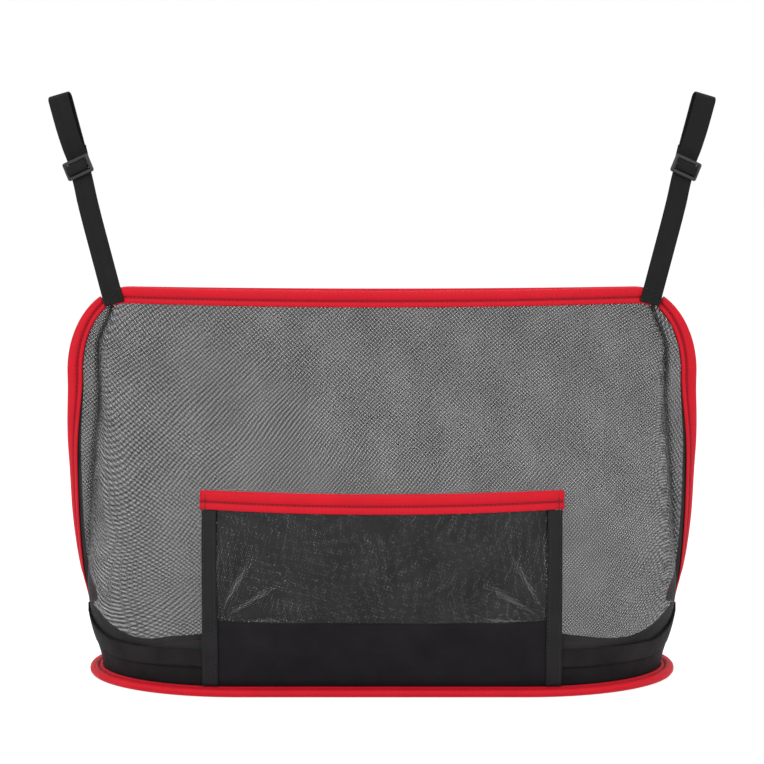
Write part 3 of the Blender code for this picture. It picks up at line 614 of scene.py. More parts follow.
NET = net_finish("net_filament", (0.036, 0.035, 0.037))
POCKET_MESH = net_finish("pocket_net_filament", (0.020, 0.0195, 0.021))
SKIRT_CLOTH = cloth_finish("skirt_cloth", (0.017, 0.0155, 0.017), 0.00075, 0.45)
BAND_CLOTH = cloth_finish("pocket_band_cloth", (0.011, 0.010, 0.012), 0.00050, 0.3)
BASE_CLOTH = cloth_finish("base_cloth", (0.016, 0.016, 0.017), 0.00070, 0.35)
BINDING = binding_finish("red_grosgrain", (0.725, 0.0045, 0.020))
WEBBING = webbing_finish("black_webbing", (0.008, 0.008, 0.0085))
TAPE = webbing_finish("pocket_tape", (0.015, 0.014, 0.015))
PLASTIC = plastic_finish("black_plastic", (0.015, 0.0155, 0.017))
RED_THREAD = thread_finish("red_thread", (0.42, 0.008, 0.020))
BLACK_THREAD = thread_finish("black_thread", (0.010, 0.010, 0.011))


# Fine nets: a lattice of strands

STRAND_LIFT = 0.00006
UNDER_TAPE = 0.004
UNDER_CLOTH = 0.003
STRAND_SCATTER = 0.035
STRAND_SPREAD = 0.07
STRAND_WIDEST = 0.46
STRAND_DRIFT = 0.0006


def beside(index, di, dj):
    """The first points of each kept node and of the kept one beside it."""
    other = np.full_like(index, -1)
    rows, columns = index.shape
    here = slice(max(0, -dj), rows - max(0, dj)), slice(max(0, -di), columns - max(0, di))
    there = slice(max(0, dj), rows + min(0, dj)), slice(max(0, di), columns + min(0, di))
    other[here] = index[there]
    pair = (index >= 0) & (other >= 0)
    return index[pair] * 4, other[pair] * 4


def runs(index, length):
    """The nodes at both ends of each piece of strand: length apart, or 1 apart where a strand stops."""
    pair = (index[:, :-1] >= 0) & (index[:, 1:] >= 0)
    whole = pair.reshape(len(index), -1, length).all(axis=2)
    loose = pair & ~np.repeat(whole, length, axis=1)
    first = np.concatenate([index[:, :-1:length][whole], index[:, :-1][loose]])
    last = np.concatenate([index[:, length::length][whole], index[:, 1:][loose]])
    return first * 4, last * 4


def lattice(name, wall, place, keep, spacing, share, turn, area, finish, replaced, thicker, run=1):
    """Strands a spacing apart over (s, z), turned by turn, where keep says so.

    share is their width over the spacing, and area is (middle height, reach across, reach up).
    thicker(s, z) is how much wider than that they are there. With run above 1 the strands pass over
    each other, in straight pieces of run spacings.
    """
    middle, reach_s, reach_z = area
    far = math.ceil(math.hypot(reach_s, reach_z) / spacing / run) * run + run
    i, j = np.meshgrid(np.arange(-far, far + 1), np.arange(-far, far + 1))
    c, d = math.cos(turn), math.sin(turn)
    random = np.random.default_rng(7)
    loose = STRAND_SCATTER * spacing
    s = (i * c - j * d) * spacing + random.normal(0.0, loose, i.shape)
    z = middle + (i * d + j * c) * spacing + random.normal(0.0, loose, i.shape)
    wanted = (np.abs(s) < reach_s) & (np.abs(z - middle) < reach_z)
    wanted[wanted] = keep(s[wanted], z[wanted])
    index = np.where(wanted, np.cumsum(wanted.ravel()).reshape(wanted.shape) - 1, -1)
    s, z = s[wanted], z[wanted]
    half = share * spacing / 2 * (1 + STRAND_SPREAD * ripple(s * 3.1, z * 2.7)) * thicker(s, z)
    half = np.minimum(half, spacing * STRAND_WIDEST)
    verts = []
    corners = ((1, 1), (-1, 1), (-1, -1), (1, -1)) if run == 1 else ((0, 1), (0, -1), (1, 0), (-1, 0))
    for a, b in corners:
        u, v = s + (a * c - b * d) * half, z + (a * d + b * c) * half
        drift_s, drift_z = ripple(u * 1.3, v * 1.7), ripple(v * 1.9 + 0.3, u * 1.1)
        lift = np.full(len(u), STRAND_LIFT * (b == 0))
        verts.append(place(u + STRAND_DRIFT * drift_s, v + STRAND_DRIFT * drift_z, lift))
    verts = np.stack(verts, axis=1).reshape(-1, 3)
    along = np.repeat(s, 4)
    if run == 1:
        pp, mp, mm, pm = range(4)
        knot = index[index >= 0] * 4
        before, after = beside(index, 1, 0)
        under, over = beside(index, 0, 1)
        quads = [
            (knot + pm, knot + pp, knot + mp, knot + mm),
            (before + pp, before + pm, after + mm, after + mp),
            (under + mp, under + pp, over + pm, over + mm),
        ]
    else:
        top, bottom, right, left = range(4)
        before, after = runs(index, run)
        under, over = runs(index.T, run)
        quads = [
            (before + bottom, after + bottom, after + top, before + top),
            (under + right, over + right, over + left, under + left),
        ]
    faces = [np.stack(f, axis=1) for f in quads]
    if wall.side > 0:
        faces = [f[:, ::-1] for f in faces]
    if len(replaced) == 1:
        return [net_piece(name, verts, faces, finish, replaced)]
    halves = []
    for (hand, word), node in zip(HANDS, replaced):
        kept = [f[np.sign(along[f[:, 0]] + 1e-9) == hand] for f in faces]
        halves.append(net_piece(f"{word}_{name}", verts, kept, finish, (node,)))
    return halves


def net_piece(name, verts, faces, finish, replaced):
    """The faces with the points that they use."""
    used = np.unique(np.concatenate([f.ravel() for f in faces]))
    number = np.zeros(len(verts), int)
    number[used] = np.arange(len(used))
    faces = [tuple(face) for block in faces for face in number[block].tolist()]
    return new_piece(name, verts[used].tolist(), faces, finish, replaced)


def curve(function, low, high, count=300):
    """A function of one number as a table that takes arrays."""
    xs = np.linspace(low, high, count)
    ys = np.array([function(float(x)) for x in xs])
    return lambda x: np.interp(x, xs, ys)


class Edges:
    """Where a net ends, fades and folds, over height."""

    def __init__(self, wall):
        self.wall = wall
        self.side = side = wall.side
        self.seam = curve(lambda z: seam_length(z, side), 0.0, BODY_HEIGHT)
        self.fold = curve(lambda z: length_at(fold_x(z), z, side), 0.0, BODY_HEIGHT)
        self.root = curve(fin_root, 0.0, BODY_HEIGHT)
        self.low_seam = seam_length(FLOOR_TOP, side)
        self.skirt = curve(lambda s: skirt_height(s, side), 0.0, self.low_seam)

    def keep(self, s, z):
        a = np.abs(s)
        fin = np.where(z > SKIRT_TIP - 0.0012, self.root(z) + 0.0035, -0.0003)
        share = np.clip(a / self.seam(z), 0, 1)
        over_skirt = z > self.skirt(share * self.low_seam) - UNDER_CLOTH
        x = np.abs(self.wall.look_up(self.wall.table, s, z)[:, 0])
        past = np.clip(x - CORNER_X, 0.0, None) / (CORNER_LENGTH - 0.0065)
        rise = np.clip(z - CORNER_Z, 0.0, None) / (CORNER_HEIGHT - 0.006)
        inside = np.where(z > CORNER_Z, past**2 + rise**2 < 1.0, a < self.seam(z) + fin)
        sag = FRONT_SAG if self.side < 0 else BACK_SAG
        top = BODY_HEIGHT - sag * np.clip(1 - (a / 0.19) ** 2, 0, None)
        return over_skirt & inside & (z < top - TOP_BINDING + UNDER_TAPE)

    def crease(self, s, z):
        """The net lies double along its fold: sharp below the mouth, softer lower down."""
        low = np.clip((BODY_HEIGHT - 0.02 - z) / 0.18, 0, 1)
        wide = 0.0014 + 0.0036 * low
        away = (np.abs(s) - self.fold(z) - 0.0005) / wide
        return 1 + (0.95 - 0.60 * low) * np.exp(-(away**2)) * np.clip((z - 0.045) / 0.05, 0, 1)


def body_place(wall, edges):
    def place(s, z, out):
        sag = 0.0007 * ripple(s * 1.6 + 0.2, z * 1.9)
        fade = np.clip((edges.fold(z) - np.abs(s)) / 0.03, 0, 1)
        fade = fade * np.clip((BODY_HEIGHT - 0.012 - z) / 0.03, 0, 1)
        return wall.place(s, z, out + sag * fade * np.clip((z - 0.03) / 0.03, 0, 1))

    return place


NET_SPACING = 0.00084
NET_SHARE = 0.405
NET_RUN = 2
BODY_AREA = (BODY_HEIGHT / 2, 0.262, BODY_HEIGHT / 2)


def body_nets(word, wall, turn):
    edges = Edges(wall)
    nodes = (f"left_{word}_net", f"right_{word}_net")
    return lattice(
        f"{word}_net_cloth", wall, body_place(wall, edges), edges.keep, NET_SPACING, NET_SHARE,
        math.radians(turn), BODY_AREA, NET, nodes, edges.crease, NET_RUN,
    )


front_nets = body_nets("front", FRONT, 45)
back_nets = body_nets("back", BACK, 22)

POCKET_CORNER = (0.112, 0.050)


def from_pocket_corner(s, z):
    """Distance and angle from the nearer lower corner of the pocket."""
    a, b = POCKET_CORNER[0] - np.abs(s), z - POCKET_CORNER[1]
    return np.hypot(a, b), np.arctan2(b, a)


def pocket_wrinkle(s, z):
    """Drag folds that run up and inward from the pocket's lower corners."""
    away, angle = from_pocket_corner(s, z)
    fan = np.sin(angle * 9.0 + 0.6) * np.exp(-(((away - 0.034) / 0.024) ** 2))
    return 0.0011 * fan + 0.0006 * ripple(s * 1.7, z * 2.2)


def pocket_strain(s, z):
    """The strands are pulled thin along the drag folds."""
    away, angle = from_pocket_corner(s, z)
    ray = np.clip(np.sin(angle * 13.0 + 0.6), 0, 1) ** 3
    return 1 - 0.70 * ray * np.exp(-(((away - 0.028) / 0.019) ** 2))


POCKET_OUT = np.vectorize(pocket_offset)


def pocket_place(s, z, out):
    fade = np.clip((0.116 - np.abs(s)) / 0.02, 0, 1) * np.clip((POCKET_TOP - 0.014 - z) / 0.02, 0, 1)
    fade = fade * np.clip((z - POCKET_BAND + 0.006) / 0.012, 0, 1)
    return FRONT.place(s, z, POCKET_OUT(s, z) + out + pocket_wrinkle(s, z) * fade)


def pocket_keep(s, z):
    inside = np.abs(s) < POCKET_WIDTH / 2 - 0.003
    return inside & (z > POCKET_BAND - UNDER_CLOTH) & (z < POCKET_TOP - POCKET_BINDING + UNDER_TAPE)


POCKET_SPACING = 0.00135
POCKET_SHARE = 0.80
POCKET_AREA = ((POCKET_BAND + POCKET_TOP) / 2, POCKET_WIDTH / 2, 0.050)
pocket_nets = lattice(
    "pocket_net_cloth", FRONT, pocket_place, pocket_keep, POCKET_SPACING, POCKET_SHARE,
    math.radians(21), POCKET_AREA, POCKET_MESH, ("pocket_net",), pocket_strain,
)


# Bindings


def tape_profile(width, slot, plump, groove):
    """(outward from the mouth, aside, painted shade) round a folded tape, with a sewn groove near its mouth;
    the painted shade is darkest in the groove and on the inner faces.
    """
    face = slot + BINDING_WALL
    swell = face * plump
    outer = [
        (0.0, face * 0.62, 0.5), (0.00025, face * 0.90, 0.0), (0.0009, face * 1.06, 0.0),
        (groove * 0.5, face * 1.10, 0.0), (groove - 0.0009, face * 0.98, 0.15),
        (groove - 0.0004, face * 0.66, 0.9), (groove, face * 0.56, 1.0), (groove + 0.0004, face * 0.66, 0.9),
        (groove + 0.0010, face * 1.0, 0.2), (mix(groove, width, 0.38), swell, 0.0),
        (mix(groove, width, 0.60), swell * 1.04, 0.0), (width - face * 0.95, swell * 0.95, 0.0),
        (width - face * 0.45, swell * 0.70, 0.0), (width - face * 0.12, swell * 0.36, 0.0), (width, 0.0, 0.0),
    ]
    inner = [(0.0, slot * 0.9, 1.0), (0.0015, slot * 0.8, 1.0), (width - BINDING_WALL * 1.2, slot * 0.6, 1.0)]
    back = [(a, -b, c) for a, b, c in reversed(outer[:-1])]
    return outer + back + [(a, -b, c) for a, b, c in inner] + list(reversed(inner))


def tape(name, node, stations, slot, groove, plump):
    """A folded tape along (mouth, outward, aside, width) stations."""
    rings = []
    for mouth, out, aside, width in stations:
        rings.append([mouth + out * a + aside * b for a, b, _ in tape_profile(width, slot, plump, groove)])
    # The painted shade round the tape, the same at every station.
    painted_shade = [c for _, _, c in tape_profile(0.011, slot, plump, groove)]
    swept_piece(name, rings, BINDING, (node,), painted_shade=painted_shade)


def top_station(x, side):
    high = on_body(*along_mouth(x, side, 0.0), side)
    low = on_body(*along_mouth(x, side, TOP_BINDING), side)
    before = on_body(*along_mouth(x - 0.001, side, 0.0), side)
    after = on_body(*along_mouth(x + 0.001, side, 0.0), side)
    up = (high - low).normalized()
    return low, up, ((after - before).cross(up) * -side).normalized(), (high - low).length


def side_path(hand):
    """Stations of a side binding: round the upper corner, then down to the skirt's point."""
    stations = []
    inner_x, inner_z = CORNER_LENGTH - SIDE_BINDING, CORNER_HEIGHT - SIDE_BINDING_NECK
    for a in spaced(SIDE_BINDING_START, 0.0, 28):
        c, d = math.cos(a), math.sin(a)
        inner = Vector((CORNER_X + inner_x * c, 0.0, CORNER_Z + inner_z * d))
        rise = Vector((CORNER_X + CORNER_LENGTH * c, 0.0, CORNER_Z + CORNER_HEIGHT * d)) - inner
        stations.append((inner, rise.normalized(), Vector((0.0, -1.0, 0.0)), rise.length))
    for z in spaced(CORNER_Z, SKIRT_TIP - 0.0008, 58)[1:]:
        turn = fin_turn(z)
        along = Vector((math.cos(turn), math.sin(turn), 0.0))
        inner = Vector((seam_x(z), 0.0, z)) + along * fin_root(z)
        stations.append((inner, along, Vector((math.sin(turn), -math.cos(turn), 0.0)), SIDE_BINDING))
    flip = Vector((hand, 1.0, 1.0))
    return [(m * flip, o * flip, a * flip, w) for m, o, a, w in stations]


def on_pocket(s, z, out=0.0):
    return off_body(s, z, -1, pocket_offset(s, z) + out)


def pocket_station(s):
    low = on_pocket(s, POCKET_TOP - POCKET_BINDING)
    rise = on_pocket(s, POCKET_TOP) - low
    across = on_pocket(s + 0.002, POCKET_TOP) - on_pocket(s - 0.002, POCKET_TOP)
    return low, rise.normalized(), across.cross(rise).normalized(), rise.length


TOP_GROOVE = 0.0042
SIDE_GROOVE = 0.0036
POCKET_GROOVE = 0.0052
PLUMP = 1.22
SIDE_PLUMP = 1.05
MOUTH_END = FOLD_AT_MOUTH - 0.0015
POCKET_REACH = POCKET_WIDTH / 2 + POCKET_BINDING_LAP

mouth = spaced(-MOUTH_END, MOUTH_END, 121)
front_mouth = [top_station(x, -1) for x in mouth]
back_mouth = [top_station(x, 1) for x in mouth]
pocket_mouth = [pocket_station(s) for s in spaced(-POCKET_REACH, POCKET_REACH, 97)]
tapes = (
    ("front_top_tape", "front_top_binding", front_mouth, SINGLE_SLOT, TOP_GROOVE, PLUMP),
    ("back_top_tape", "back_top_binding", back_mouth, SINGLE_SLOT, TOP_GROOVE, PLUMP),
    ("left_side_tape", "left_side_binding", side_path(-1), DOUBLE_SLOT, SIDE_GROOVE, SIDE_PLUMP),
    ("right_side_tape", "right_side_binding", side_path(1), DOUBLE_SLOT, SIDE_GROOVE, SIDE_PLUMP),
    ("pocket_mouth_tape", "pocket_binding", pocket_mouth, SINGLE_SLOT, POCKET_GROOVE, PLUMP),
)
for row in tapes:
    tape(*row)


def make_rim():
    """The bound edge of the base: a rounded tape with a sewn groove round its top."""
    w = RIM_WIDTH
    # Each point of the section is (grown out, height, painted shade); the shade is painted into the sewn
    # groove and onto the inner edge.
    section_points = (
        (-0.0002, 0.0003, 0.0), (w - 0.0026, 0.0, 0.0), (w - 0.0010, 0.0005, 0.0), (w - 0.0002, 0.0016, 0.0),
        (w, 0.0028, 0.0), (w - 0.0002, 0.0040, 0.0), (w - 0.0011, 0.0051, 0.0), (w - 0.0026, 0.0055, 0.0),
        (0.0046, 0.0054, 0.0), (0.0036, 0.0050, 0.3), (0.0032, 0.0043, 0.9), (0.0028, 0.0041, 1.0),
        (0.0024, 0.0043, 0.9), (0.0020, 0.0050, 0.3), (0.0012, 0.0055, 0.0), (-0.0002, 0.0052, 0.6),
    )
    loops = [[Vector((p.x, p.y, z)) for p in base_outline(r, 30)] for r, z, _ in section_points]
    rings = [list(ring) for ring in zip(*loops)]
    painted_shade = [c for _, _, c in section_points]
    swept_piece("base_rim_tape", rings, BINDING, ("base_rim",), closed=True, painted_shade=painted_shade)


make_rim()


# Sewing thread

STITCH_STEP = 0.0030
STITCH_LENGTH = 0.0023
STITCH_WIDTH = 0.0005
STITCH_HEIGHT = 0.00032
UP = Vector((0.0, 0.0, 1.0))


def stitches(name, seats, finish):
    """A rounded stitch on each (middle, along, out, length) seat."""
    verts, faces = [], []
    around = [(math.cos(a), math.sin(a)) for a in (2 * math.pi * k / 6 for k in range(6))]
    for middle, along, out, length in seats:
        aside = along.cross(out).normalized()
        first = len(verts)
        for t, k in ((-0.36, 0.75), (0.0, 1.0), (0.36, 0.75)):
            lift = 0.25 - abs(t) * 0.9
            for c, d in around:
                p = middle + along * (t * length) + aside * (c * STITCH_WIDTH * 0.5 * k)
                verts.append(tuple(p + out * (STITCH_HEIGHT * (d * k + lift))))
        for t in (-0.5, 0.5):
            verts.append(tuple(middle + along * (t * length) - out * (STITCH_HEIGHT * 0.5)))
        for ring in (0, 6):
            for k in range(6):
                n = (k + 1) % 6
                faces.append((first + ring + k, first + ring + n, first + ring + 6 + n, first + ring + 6 + k))
        for k in range(6):
            n = (k + 1) % 6
            faces.append((first + 18, first + n, first + k))
            faces.append((first + 19, first + 12 + k, first + 12 + n))
    if not outward(verts, faces):
        faces = [f[::-1] for f in faces]
    new_piece(name, verts, faces, finish)


def seats_along(path, step, length):
    """Seats a step apart on a path of (point, out)."""
    seats, carried = [], 0.0
    for (p, out), (q, _) in zip(path, path[1:]):
        run = (q - p).length
        while carried <= run:
            seats.append((p.lerp(q, carried / run), (q - p).normalized(), out, length))
            carried += step
        carried -= run
    return seats


seams = []
for _, _, stations, slot, groove, _ in tapes:
    height = (slot + BINDING_WALL) * 0.60
    for face in (1, -1):
        line = [(m + o * groove + a * (height * face), a * face) for m, o, a, _ in stations]
        seams += seats_along(line, STITCH_STEP, STITCH_LENGTH)
rim_line = [(Vector((p.x, p.y, 0.0042)), UP) for p in base_outline(0.0028, 30)]
seams += seats_along(rim_line + rim_line[:1], STITCH_STEP, STITCH_LENGTH)
stitches("binding_stitches", seams, RED_THREAD)


# Skirt, base and pocket cloth


def cloth_sheet(name, place, us, vs, thickness, finish, replaced, closed=False, shade=None):
    """A sheet with rounded edges: place(u, v, out) over a grid, as a ring of points for each u.

    shade(v) is the painted shade on the outer face at v, from 0 to 1.
    """
    rings = []
    half = thickness / 2
    for u in us:
        top, bottom = place(u, vs[-1], 0.0), place(u, vs[0], 0.0)
        lift = (top - place(u, vs[-2], 0.0)).normalized() * half * 0.8
        drop = (bottom - place(u, vs[1], 0.0)).normalized() * half * 0.8
        over, under = [place(u, v, half) for v in vs], [place(u, v, -half) for v in reversed(vs)]
        rings.append(over + [top + lift] + under + [bottom + drop])
    outer = [shade(v) if shade else 0.0 for v in vs]
    # Painted shade: half on the sheet's two edges, and 0.6 over its whole inner face.
    return swept_piece(name, rings, finish, replaced, closed, outer + [0.5] + [0.6] * len(vs) + [0.5])


LAP = 0.54


def lap(s, v, side, share):
    """The skirt is double over its upper part: how far that part stands out."""
    edge = LAP + 0.03 * ripple_at(s * 1.9 + 0.3, 0.11)
    return (0.0008 if side < 0 else 0.0) * smooth(edge - 0.012, edge + 0.012, v) * (1 - abs(share) ** 14)


def skirt_shade(v):
    """Painted shadow just under the overhanging upper part, and the cloth a little darker below that."""
    return 0.30 * smooth(LAP + 0.03, LAP - 0.02, v) + 0.65 * math.exp(-(((v - LAP + 0.035) / 0.035) ** 2))


def skirt_place(u, v, out):
    """u is a share of the way round, from -1 to 1 in front and 1 to 3 behind; v a share of the height."""
    side = -1 if -1 <= u <= 1 else 1
    share = u if side < 0 else 2 - u
    s = share * seam_length(FLOOR_TOP, side)
    uneven = 0.0008 * ripple_at(s * 2.1 + (0.4 if side > 0 else 0.0), 0.07)
    uneven += 0.0003 * ripple_at(s * 7.3, 0.19)
    z = mix(FLOOR_TOP + 0.0008, skirt_height(s, side) + uneven * (1 - abs(share) ** 8), v)
    along = share * seam_length(z, side)
    body = SKIRT_OFFSET + out + (lap(s, v, side, share) if out >= 0 else 0.0)
    if abs(abs(share) - 1) < 1e-6:
        return Vector((math.copysign(seam_x(z) + body + LAYER_STEP, share), 0.0, z))
    puff = 0.0009 * math.sin(math.pi * v) * (0.5 + 0.5 * ripple_at(s * 1.4, 0.02))
    return off_body(along, z, side, body + puff * (1 - abs(share) ** 6))


def skirt_shares(count):
    half = [math.sin(math.pi / 2 * i / count) for i in range(count)]
    return [-x for x in reversed(half[1:])] + half


front_shares = skirt_shares(84)
around_base = front_shares + [1.0] + [2 - x for x in reversed(front_shares)] + [3.0]
skirt_levels = [0.0, 0.08, 0.17, 0.27, 0.37, 0.45, 0.50, 0.525, 0.54, 0.555, 0.58, 0.64]
skirt_levels += [0.72, 0.80, 0.88, 0.95, 1.0]
skirt = cloth_sheet(
    "skirt_cloth", skirt_place, around_base, skirt_levels, 0.0009, SKIRT_CLOTH,
    ("base_skirt",), closed=True, shade=skirt_shade,
)


def make_base():
    """The cloth-covered base panel, its cover a little soft over the board."""
    top = BASE_THICKNESS
    levels = ((-0.0012, 0.0), (-0.0002, 0.0007), (-0.0002, top - 0.0008), (-0.0014, top))
    rings = [[(p.x, p.y, z) for p in base_outline(grow, 22)] for grow, z in levels]
    for k in (0.80, 0.5, 0.2):
        rings.append([(p.x * k, p.y * k, top + 0.0004 * (1 - k)) for p in base_outline(0.0, 22)])
    verts, faces, _ = swept(rings)
    uv = [verts[i][:2] for face in faces for i in face]
    new_piece("base_cloth", verts, faces, BASE_CLOTH, ("base_panel",), uv)


make_base()


def band_place(s, v, out):
    z = mix(RIM_TOP, POCKET_BAND, v)
    soft = 0.0008 * ripple_at(s * 1.3 + 0.5, z * 1.8) * math.sin(math.pi * min(1.0, v + 0.15))
    return on_pocket(s, z, out + soft)


band_half = POCKET_WIDTH / 2 - POCKET_BINDING_LAP
pocket_band = cloth_sheet(
    "pocket_band_cloth", band_place, spaced(-band_half, band_half, 81), spaced(0.0, 1.0, 10), 0.0009,
    BAND_CLOTH, ("pocket_band",),
)


def tape_place(hand):
    def place(v, u, out):
        s = hand * (POCKET_WIDTH / 2 - TAPE_WIDTH * u)
        z = mix(RIM_TOP, POCKET_TOP - POCKET_BINDING - GAP, v)
        return on_pocket(s, z, TAPE_OFFSET - POCKET_OFFSET + out)

    return place


for hand, word in HANDS:
    cloth_sheet(
        f"{word}_pocket_edge_tape", tape_place(hand), spaced(0.0, 1.0, 60), spaced(0.0, 1.0, 7), 0.0010, TAPE,
        (f"{word}_pocket_tape",),
    )


# Straps and sliders


def strap_frame(hand):
    """Place and turn of a strap: local X across it, Y to its back and Z along it."""
    top = mouth_z(FOOT_X, -1) - TOP_BINDING / 2
    seat = on_body(length_at(FOOT_X, top, -1) * hand, top, -1)
    turn = Matrix.Rotation(STRAP_YAW * hand, 4, "Z") @ Matrix.Rotation(STRAP_LEAN * hand, 4, "Y")
    out = turn.to_3x3() @ Vector((0.0, -1.0, 0.0))
    down = turn.to_3x3() @ Vector((0.0, 0.0, -(TOP_BINDING / 2 + FOOT_BELOW)))
    reach = 0.0
    for x in (MOUTH_END * i * hand for i in (0.955, 0.98, 1.0)):
        low, up, aside, width = top_station(x, -1)
        face = low + aside * (SINGLE_SLOT + BINDING_WALL)
        reach = max(reach, (face - seat).dot(out), (face + up * width - seat).dot(out))
    return Matrix.Translation(seat + out * (reach + GAP + WEBBING_THICKNESS / 2) + down) @ turn


def arc(middle, radius, start, end, steps):
    angles = [math.radians(mix(start, end, i / steps)) for i in range(steps + 1)]
    return [(middle[0] + radius * math.cos(a), middle[1] + radius * math.sin(a)) for a in angles]


def strap_path():
    """The webbing's own line, (s, n) from its foot, through the slider, round the loop and back."""
    half = WEBBING_THICKNESS / 2
    layer = WEBBING_THICKNESS + GAP
    wrap_n = CENTRE_BAR_THICKNESS / 2 + GAP + half
    wrap_s = CENTRE_BAR / 2 + GAP + half
    run_n = wrap_n + layer
    run_s = wrap_s + layer
    behind = SLIDER_THICKNESS / 2 + 2 * GAP + half
    at = SLIDER_AT
    bar = CENTRE_BAR / 2 + SLOT
    edge = SLIDER_HEIGHT / 2
    top = STRAP_LENGTH - (LOOP_FRONT + LOOP_BACK) / 2 - 0.0008
    path = [(0.0, 0.0), (0.3 * at, 0.0), (0.72 * at, 0.0), (at - edge - 0.004, -behind)]
    path += [(at - bar - 0.0008, -behind)]
    path += [(at - run_s, -behind + 0.0006), (at - run_s, run_n - 0.0008), (at - run_s + 0.0010, run_n)]
    path += [(at, run_n + 0.0001), (at + run_s - 0.0010, run_n)]
    path += [(at + run_s, run_n - 0.0008), (at + run_s, -behind + 0.0006), (at + bar + 0.0008, -behind)]
    path += [(at + edge + 0.002, -behind), (at + 0.014, 0.0), (mix(at, top, 0.55), LOOP_FRONT * 0.85)]
    path += [(top - 0.004, LOOP_FRONT)]
    middle = (LOOP_FRONT - LOOP_BACK) / 2
    radius = (LOOP_FRONT + LOOP_BACK) / 2
    path += arc((top, middle), radius, 90, -90, 8)
    back = behind + layer
    tail = back + layer
    path += [(mix(at, top, 0.55), -LOOP_BACK), (at + SEWN_TAIL + 0.003, -back - 0.0006)]
    path += [(at + edge, -back), (at + bar, -back), (at + wrap_s + 0.0006, -back + 0.0005)]
    path += [(at + wrap_s, -wrap_n), (at + wrap_s, wrap_n - 0.0007), (at + wrap_s - 0.0007, wrap_n)]
    path += [(at - wrap_s + 0.0007, wrap_n), (at - wrap_s, wrap_n - 0.0007), (at - wrap_s, -back + 0.0004)]
    path += [(at - wrap_s + 0.0006, -tail + 0.0004), (at - wrap_s + 0.0014, -tail), (at + edge, -tail)]
    path += [(at + SEWN_TAIL, -tail - 0.0006)]
    return path


def rounded(path, times):
    """The path with its corners cut, and its long runs divided."""
    points = [Vector(p) for p in path]
    for _ in range(times):
        cut = [points[0]]
        for a, b in zip(points, points[1:]):
            cut += [a.lerp(b, 0.25), a.lerp(b, 0.75)]
        points = cut + [points[-1]]
    dense = [points[0]]
    for a, b in zip(points, points[1:]):
        parts = max(1, math.ceil((b - a).length / 0.0025))
        dense += [a.lerp(b, i / parts) for i in range(1, parts + 1)]
    return dense


def make_strap(hand, word):
    points = rounded(strap_path(), 2)
    lip = WEBBING_THICKNESS / 2
    half = WEBBING_WIDTH / 2
    edge = [(half, 0.0), (half - 0.0003, lip * 0.8), (half - 0.0008, lip), (half / 2, lip)]
    upper = [(-x, d) for x, d in edge] + [(0.0, lip)] + edge[::-1]
    outline = upper + [(x, -d) for x, d in upper[-2:0:-1]]
    turn = strap_frame(hand)
    rings = []
    for i, p in enumerate(points):
        along = (points[min(i + 1, len(points) - 1)] - points[max(i - 1, 0)]).normalized()
        face = Vector((-along.y, along.x))
        near = 1 - smooth(0.010, 0.022, abs(p.x - SLIDER_AT))
        shear = -hand * math.tan(SLIDER_SKEW) * near
        ring = []
        for x, d in outline:
            q = p + face * d
            ring.append(turn @ Vector((x, -q.y, q.x + shear * x)))
        rings.append(ring)
    swept_piece(f"{word}_strap_webbing", rings, WEBBING, (f"{word}_strap",))


def soft_ring(count, power):
    """(across, up) round a square with soft corners, from -1 to 1."""
    turns = [2 * math.pi * (k + 0.5) / count for k in range(count)]
    pairs = [(math.cos(a), math.sin(a)) for a in turns]
    return [tuple(math.copysign(abs(x) ** power, x) for x in pair) for pair in pairs]


def make_slider(hand, word):
    """A three-bar slider: a rounded frame with a thinner bar across its middle."""
    turn = strap_frame(hand) @ Matrix.Translation((0.0, 0.0, SLIDER_AT))
    turn = turn @ Matrix.Rotation(SLIDER_SKEW * hand, 4, "Y")
    half_w, half_h = SLIDER_WIDTH / 2, SLIDER_HEIGHT / 2
    rail = half_h - CENTRE_BAR / 2 - SLOT
    radius = 0.0016
    rings = []
    for cx, cz, start in ((1, 1, 0), (-1, 1, 90), (-1, -1, 180), (1, -1, 270)):
        corner = Vector((cx * (half_w - radius), 0.0, cz * (half_h - radius)))
        for k in range(7):
            a = math.radians(start + 15 * k)
            out = Vector((math.cos(a), 0.0, math.sin(a)))
            inward = radius - mix(SLOT_SIDE, rail, abs(out.z))
            ring = []
            for c, d in soft_ring(14, 0.6):
                across = out * mix(inward, radius, c * 0.5 + 0.5)
                ring.append(turn @ (corner + across + Vector((0.0, SLIDER_THICKNESS / 2 * d, 0.0))))
            rings.append(ring)
    swept_piece(f"{word}_slider_frame", rings, PLASTIC, (f"{word}_slider",), closed=True)
    shape = [(CENTRE_BAR / 2 * c, CENTRE_BAR_THICKNESS / 2 * d) for c, d in soft_ring(12, 0.55)]
    ends = (-half_w + 0.0008, half_w - 0.0008)
    bar = [[turn @ Vector((x, b, a)) for a, b in shape] for x in ends]
    swept_piece(f"{word}_slider_bar", bar, PLASTIC)


def strap_stitches(hand):
    """A box of stitches, crossed once, that holds the strap's foot."""
    turn = strap_frame(hand)
    out = turn.to_3x3() @ Vector((0.0, -1.0, 0.0))
    lip = WEBBING_THICKNESS / 2
    w = WEBBING_WIDTH / 2 - 0.0012
    corners = [(-w, 0.0013), (w, 0.0013), (w, 0.0095), (-w, 0.0095), (-w, 0.0013), (w, 0.0095)]
    path = [(turn @ Vector((x, -lip - 0.0001, z)), out) for x, z in corners]
    seats = []
    for one, two in zip(path, path[1:]):
        seats += seats_along([one, two], 0.0023, 0.0018)
    return seats


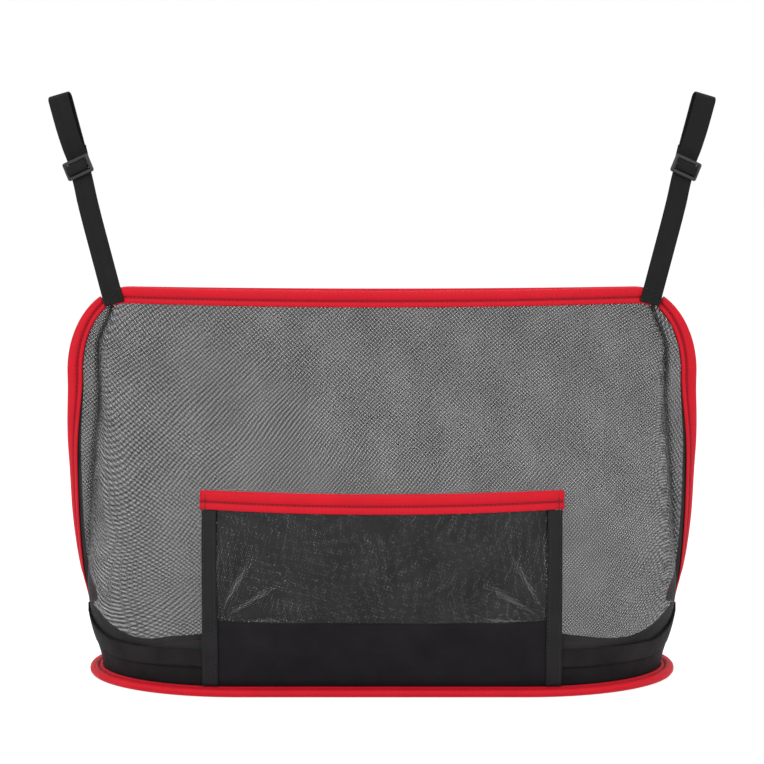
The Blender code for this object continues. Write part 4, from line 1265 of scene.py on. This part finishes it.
def pocket_end_stitches(hand):
    """A short row across the pocket's binding, near its end."""
    low, up, aside, width = pocket_station(hand * (POCKET_WIDTH / 2 - 0.0030))
    face = (SINGLE_SLOT + BINDING_WALL) * 1.2
    line = []
    for t in spaced(0.02, 0.88, 8):
        sunk = 0.86 if 0.33 < t < 0.5 else 1.0
        line.append((low + up * (width * t) + aside * (face * sunk), aside))
    return seats_along(line, 0.0019, 0.0018)


thread = []
for hand, word in HANDS:
    make_strap(hand, word)
    make_slider(hand, word)
    thread += strap_stitches(hand)
    for u in (0.14, 0.86):
        line = [tape_place(hand)(v, u, 0.0006) for v in spaced(0.0, 1.0, 60)]
        thread += seats_along([(p, Vector((0, -1, 0))) for p in line], 0.0028, 0.0021)
    thread += pocket_end_stitches(hand)
stitches("black_stitches", thread, BLACK_THREAD)


# Floor, light and camera


def grey(tone):
    return (tone, tone, tone, 1.0)


def make_floor():
    """A wide floor just under the bag, evenly bright where it is seen."""
    size, low = 12.0, -0.0002
    corners = [(-size, -size, low), (size, -size, low), (size, size, low), (-size, size, low)]
    mesh = bpy.data.meshes.new("floor")
    mesh.from_pydata(corners, [], [(0, 1, 2, 3)])
    floor = bpy.data.objects.new("floor", mesh)
    bpy.context.scene.collection.objects.link(floor)
    material = bpy.data.materials.new("floor")
    mesh.materials.append(material)
    tree = Tree(material)
    tree.nodes.clear()
    plain = tree.add("ShaderNodeBsdfDiffuse", {"Color": grey(0.80)})
    seen = tree.add("ShaderNodeBsdfDiffuse", {"Color": grey(0.40)})
    glow = tree.add("ShaderNodeEmission", {"Strength": 0.82})
    both = tree.add("ShaderNodeAddShader", {0: seen, 1: glow})
    tree.show("ShaderNodeOutputMaterial", plain, both)


def make_world():
    world = bpy.data.worlds.new("studio")
    bpy.context.scene.world = world
    tree = Tree(world)
    tree.nodes.clear()
    soft = tree.add("ShaderNodeBackground", {"Color": grey(1.0), "Strength": 0.55})
    white = tree.add("ShaderNodeBackground", {"Color": grey(1.0), "Strength": 1.0})
    tree.show("ShaderNodeOutputWorld", soft, white)


CAMERA_PLACE = (0.0, -1.076, 0.350)
CAMERA_DOWN = math.radians(7.7)
CAMERA_LENS = 74.0
FILM_WIDTH = 36.0


def lamp(name, place, aim, size, watts):
    data = bpy.data.lights.new(name, "AREA")
    data.shape = "SQUARE"
    data.size = size
    data.energy = watts
    obj = bpy.data.objects.new(name, data)
    obj.location = place
    obj.rotation_euler = (Vector(aim) - Vector(place)).to_track_quat("-Z", "Y").to_euler()
    bpy.context.scene.collection.objects.link(obj)


def make_camera():
    data = bpy.data.cameras.new("camera")
    data.lens = CAMERA_LENS
    data.sensor_width = FILM_WIDTH
    data.clip_start = 0.05
    data.clip_end = 60.0
    obj = bpy.data.objects.new("camera", data)
    obj.location = CAMERA_PLACE
    obj.rotation_euler = (math.pi / 2 - CAMERA_DOWN, 0.0, 0.0)
    bpy.context.scene.collection.objects.link(obj)
    bpy.context.scene.camera = obj


make_floor()
make_world()
lamp("key", (-0.9, -1.7, 1.5), (0.0, 0.0, 0.18), 1.3, 22.0)
lamp("fill", (1.5, -1.5, 0.9), (0.0, 0.0, 0.18), 1.6, 8.0)
lamp("top", (0.1, 0.3, 1.9), (0.0, 0.0, 0.1), 1.2, 9.0)
make_camera()
bpy.context.scene.view_settings.view_transform = "Standard"
